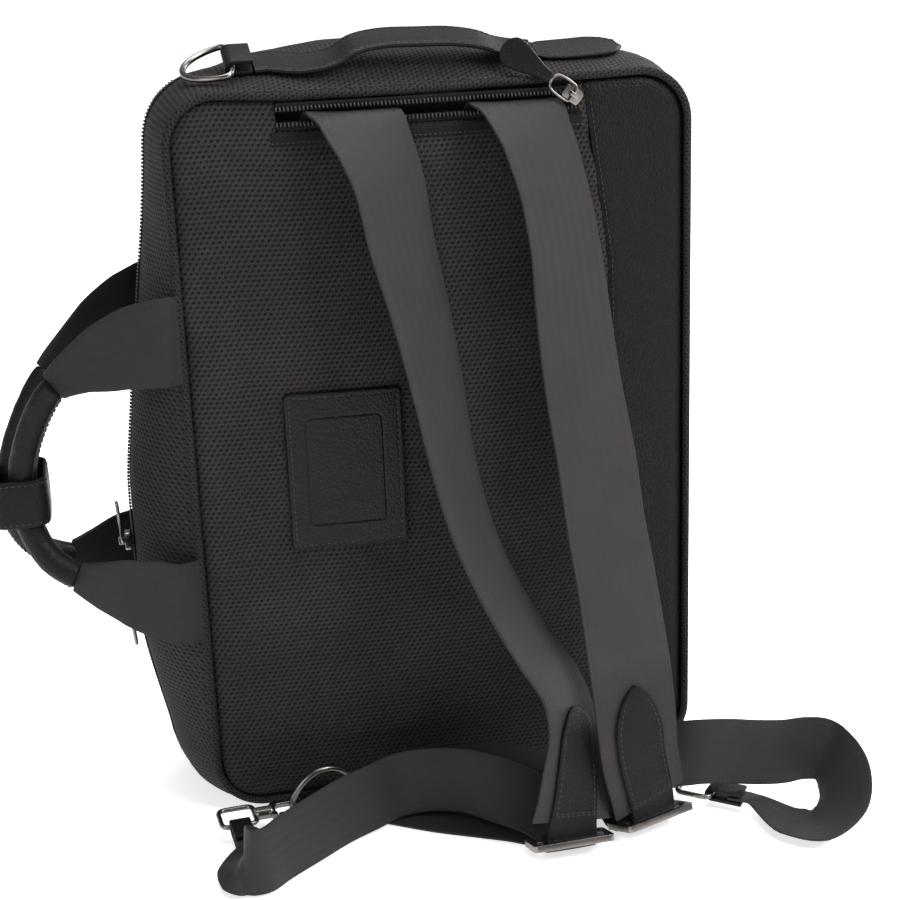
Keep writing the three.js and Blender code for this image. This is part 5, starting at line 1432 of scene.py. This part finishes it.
class MESH_OT_backpack_top(bpy.types.Operator):
    """Leather top handle with its sewn end, and the leather patch on the near panel"""

    bl_idname = "mesh.backpack_top"
    bl_label = "Top handle and patch"

    def execute(self, context):
        rows = []
        for along, depth, rise in TOP_HANDLE:
            x, y = TOP_FROM + along * TOP_LENGTH, depth * HALF_DEPTH
            z = top_rest(x - 4, x + 4, y, TOP_WIDTH / 2) + rise * TOP_RISE + TOP_THICK / 2 + SEAT
            rows.append((x, y, z, 90, TOP_TILT, TOP_WIDTH, TOP_THICK))
        frames = path_frames(rows, 110)
        leather(sweep("top_handle_leather", frames, flat_strip(0.5)), "top_handle")
        seams = self.edges(frames, 2.2, 1.55)
        rows = []
        for along, width in TOP_END:
            x = TOP_FROM + TOP_LENGTH + 2 * SEAT + along * END_LENGTH
            y = -0.46 * HALF_DEPTH + along * along * 10
            z = top_rest(x - 5, x + 5, y, TOP_WIDTH / 2) + END_THICK / 2 + SEAT
            rows.append((x, y, z, 90, TOP_TILT, width * TOP_WIDTH, END_THICK))
        frames = path_frames(rows, 60)
        leather(sweep("top_end_leather", frames, flat_strip(0.3)), "top_handle_patch")
        seams += self.edges(frames, 2.0, 1.2)
        f, up = frames[3], frames[3]["normal"] * self.way(frames[3])
        seams.append([(f["centre"] + f["across"] * a + up * 1.25, up) for a in range(-7, 8)])
        stitches("top_stitches", seams)
        self.patch()
        return {"FINISHED"}

    @staticmethod
    def way(f):
        return 1 if f["normal"].z > 0 else -1

    def edges(self, frames, inset, lift):
        """Lines down both sides of a strip, on its upper face."""
        ups = [(f, f["normal"] * self.way(f)) for f in frames[2:-2]]
        reach = lambda f: max(f["width"] / 2 - inset, 1)
        return [[(f["centre"] + f["across"] * side * reach(f) + up * lift, up) for f, up in ups]
                for side in (-1, 1)]

    def patch(self):
        """Leather patch with a debossed frame line and a sewn edge."""
        (cx, cz), (wide, high) = PATCH_AT, PATCH_SIZE
        columns, rows, radius, seam_inset = 132, 184, 3.0, 2.6

        def inset(x, z):
            ax, az = abs(x) - wide / 2 + radius, abs(z) - high / 2 + radius
            return radius - (math.hypot(max(ax, 0), max(az, 0)) + min(max(ax, az), 0))

        def height(x, z):
            d = inset(x, z)
            edge = min(max(d / 1.1, 0), 1)
            ax, az = abs(x) - wide / 2 + 15, abs(z) - high / 2 + 18
            rim = 3.5 - math.hypot(max(ax, 0), max(az, 0)) - min(max(ax, az), 0)
            frame_line = math.exp(-(rim / 0.5) ** 2)
            seam = 0.16 * math.exp(-((d - seam_inset) / 0.7) ** 2)
            lump = 0.12 * noise.noise(Vector((x / 14, z / 14, 3)))
            rounding = 0.8 * (1 - math.sqrt(1 - (1 - edge) ** 2))
            return PATCH_THICK + 0.15 - rounding - 0.42 * frame_line - seam + lump

        outer, inner, uvs = [], [], []
        for i in range(rows + 1):
            z = -high / 2 + high * i / rows
            over = max(abs(z) - high / 2 + radius, 0)
            half = wide / 2 - max(radius - math.sqrt(max(radius ** 2 - over ** 2, 0)), 0)
            xs = [-half + 2 * half * j / columns for j in range(columns + 1)]
            rest = [near_face(cx + x, cz + z) for x in xs]
            outer.append([Vector((cx + x, y - SEAT - height(x, z), cz + z)) for x, y in zip(xs, rest)])
            inner.append([Vector((cx + x, y + 0.3, cz + z)) for x, y in zip(xs, rest)])
            uvs.append([(x, z) for x in xs])
        leather(walled("patch_leather", outer, inner, uvs), "patch", "patch")
        corners = corner_points(wide / 2 - seam_inset, high / 2 - seam_inset, 2.0, 4)
        loop = even_loop([Vector((a, 0, b)) for a, b in corners], 90)
        face = lambda p: near_face(cx + p.x, cz + p.z) - SEAT - height(p.x, p.z) - 0.05
        line = [(Vector((cx + p.x, face(p), cz + p.z)), Vector((0, -1, 0))) for p in loop + loop[:1]]
        stitches("patch_stitches", [line])


# Stage

CAMERA = {"az": -11.573, "el": 17.91, "roll": -2.178, "shift": (5.61, 187.096), "distance": 1121.162}
LIGHTS = (
    # name, place in metres, size, power
    ("key", (1.1, -0.9, 1.5), 1.0, 46), ("fill", (-1.6, -1.2, 0.8), 1.2, 14),
    ("top", (0.1, 0.2, 1.9), 1.2, 34), ("rim", (1.4, 1.0, 1.0), 0.9, 26),
)
FLOOR_HALF = 60.0  # metres, so that its edge shows in no view
GLOW_FROM, GLOW_TO = 0.7, 2.2  # the floor brightens to white between these distances
WORLD_LIGHT = 0.24


class SCENE_OT_backpack_stage(bpy.types.Operator):
    """Pale floor, soft studio light and the camera"""

    bl_idname = "scene.backpack_stage"
    bl_label = "Stage"

    def execute(self, context):
        scene = context.scene
        scene.view_settings.view_transform = "Standard"
        self.floor()
        self.lights(scene)
        self.camera(scene)
        return {"FINISHED"}

    def floor(self):
        mesh = bpy.data.meshes.new("floor")
        corners = [(a * FLOOR_HALF, b * FLOOR_HALF, 0) for a, b in ((-1, -1), (1, -1), (1, 1), (-1, 1))]
        mesh.from_pydata(corners, [], [(0, 1, 2, 3)])
        obj = new_object("floor", mesh)
        f = Finish("floor_paper", roughness=0.9, shine=0.1)
        f.surface.inputs["Emission Strength"].default_value = 1.0
        away = f.node("ShaderNodeVectorMath", {"operation": "LENGTH"}, f.place(), out="Value")
        glow = f.mix(away.clamp(GLOW_FROM, GLOW_TO), (0.62, 0.62, 0.62), (1, 1, 1))
        f.tree.links.new(glow.socket, f.surface.inputs["Emission Color"])
        grain = f.noise(f.place(), 0.004, 2.0)
        obj.data.materials.append(f.paint(f.mix(grain, (0.86, 0.86, 0.86), (0.9, 0.9, 0.9)), grain, 0.00005))
        obj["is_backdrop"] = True
        world = bpy.data.worlds.new("studio")
        world.use_nodes = True
        background = world.node_tree.nodes["Background"].inputs
        background["Color"].default_value = (1, 1, 1, 1)
        background["Strength"].default_value = WORLD_LIGHT
        bpy.context.scene.world = world

    def camera(self, scene):
        a, e, r = (math.radians(CAMERA[k]) for k in ("az", "el", "roll"))
        back = Vector((math.sin(a) * math.cos(e), -math.cos(a) * math.cos(e), math.sin(e)))
        right = Vector((math.cos(a), math.sin(a), 0))
        up = back.cross(right)
        turned = right * math.cos(r) + up * math.sin(r)
        up = up * math.cos(r) - right * math.sin(r)
        eye = (turned * CAMERA["shift"][0] + up * CAMERA["shift"][1] + back * CAMERA["distance"]) * MM
        data = bpy.data.cameras.new("camera")
        data.lens, data.sensor_width, data.clip_start = 70.0, 36.0, 0.01
        obj = bpy.data.objects.new("camera", data)
        turn = Matrix((turned, up, back)).transposed().to_4x4()
        obj.matrix_world = Matrix.Translation(eye) @ turn
        scene.collection.objects.link(obj)
        scene.camera = obj

    def lights(self, scene):
        target = Vector((0, 0, 0.2))
        for name, spot, size, power in LIGHTS:
            data = bpy.data.lights.new(name, "AREA")
            data.shape, data.size, data.energy = "SQUARE", size, power
            obj = bpy.data.objects.new(name, data)
            where = Vector(spot)
            aim = (target - where).to_track_quat("-Z", "Y").to_matrix().to_4x4()
            obj.matrix_world = Matrix.Translation(where) @ aim
            scene.collection.objects.link(obj)


OPERATORS = (
    MESH_OT_backpack_panels, MESH_OT_backpack_gusset, MESH_OT_backpack_zips, MESH_OT_backpack_straps,
    MESH_OT_backpack_handles, MESH_OT_backpack_fittings, MESH_OT_backpack_top, SCENE_OT_backpack_stage,
)


class VIEW3D_PT_backpack(bpy.types.Panel):
    """Sizes, colours and parts of the backpack"""

    bl_label = "Backpack"
    bl_idname = "VIEW3D_PT_backpack"
    bl_space_type = "VIEW_3D"
    bl_region_type = "UI"
    bl_category = "Backpack"

    def draw(self, context):
        column = self.layout.column()
        for group in (context.scene.backpack_colours, context.scene.backpack_detail):
            for key in group.bl_rna.properties.keys():
                if key not in ("rna_type", "name"):
                    column.prop(group, key)
        for operator in OPERATORS:
            column.operator(operator.bl_idname)


CLASSES = (BackpackColours, BackpackDetail, *OPERATORS, VIEW3D_PT_backpack)


def register():
    for cls in CLASSES:
        bpy.utils.register_class(cls)
    bpy.types.Scene.backpack_colours = bpy.props.PointerProperty(type=BackpackColours)
    bpy.types.Scene.backpack_detail = bpy.props.PointerProperty(type=BackpackDetail)


def unregister():
    del bpy.types.Scene.backpack_detail
    del bpy.types.Scene.backpack_colours
    for cls in reversed(CLASSES):
        bpy.utils.unregister_class(cls)


def main():
    register()
    for operator in OPERATORS:
        group, name = operator.bl_idname.split(".")
        getattr(getattr(bpy.ops, group), name)()
    plain = lambda box: [[float(v) for v in corner] for corner in box]
    {"cad": plain(CAD_BOX), "visual": plain(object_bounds())}


if __name__ == "__main__":
    main()
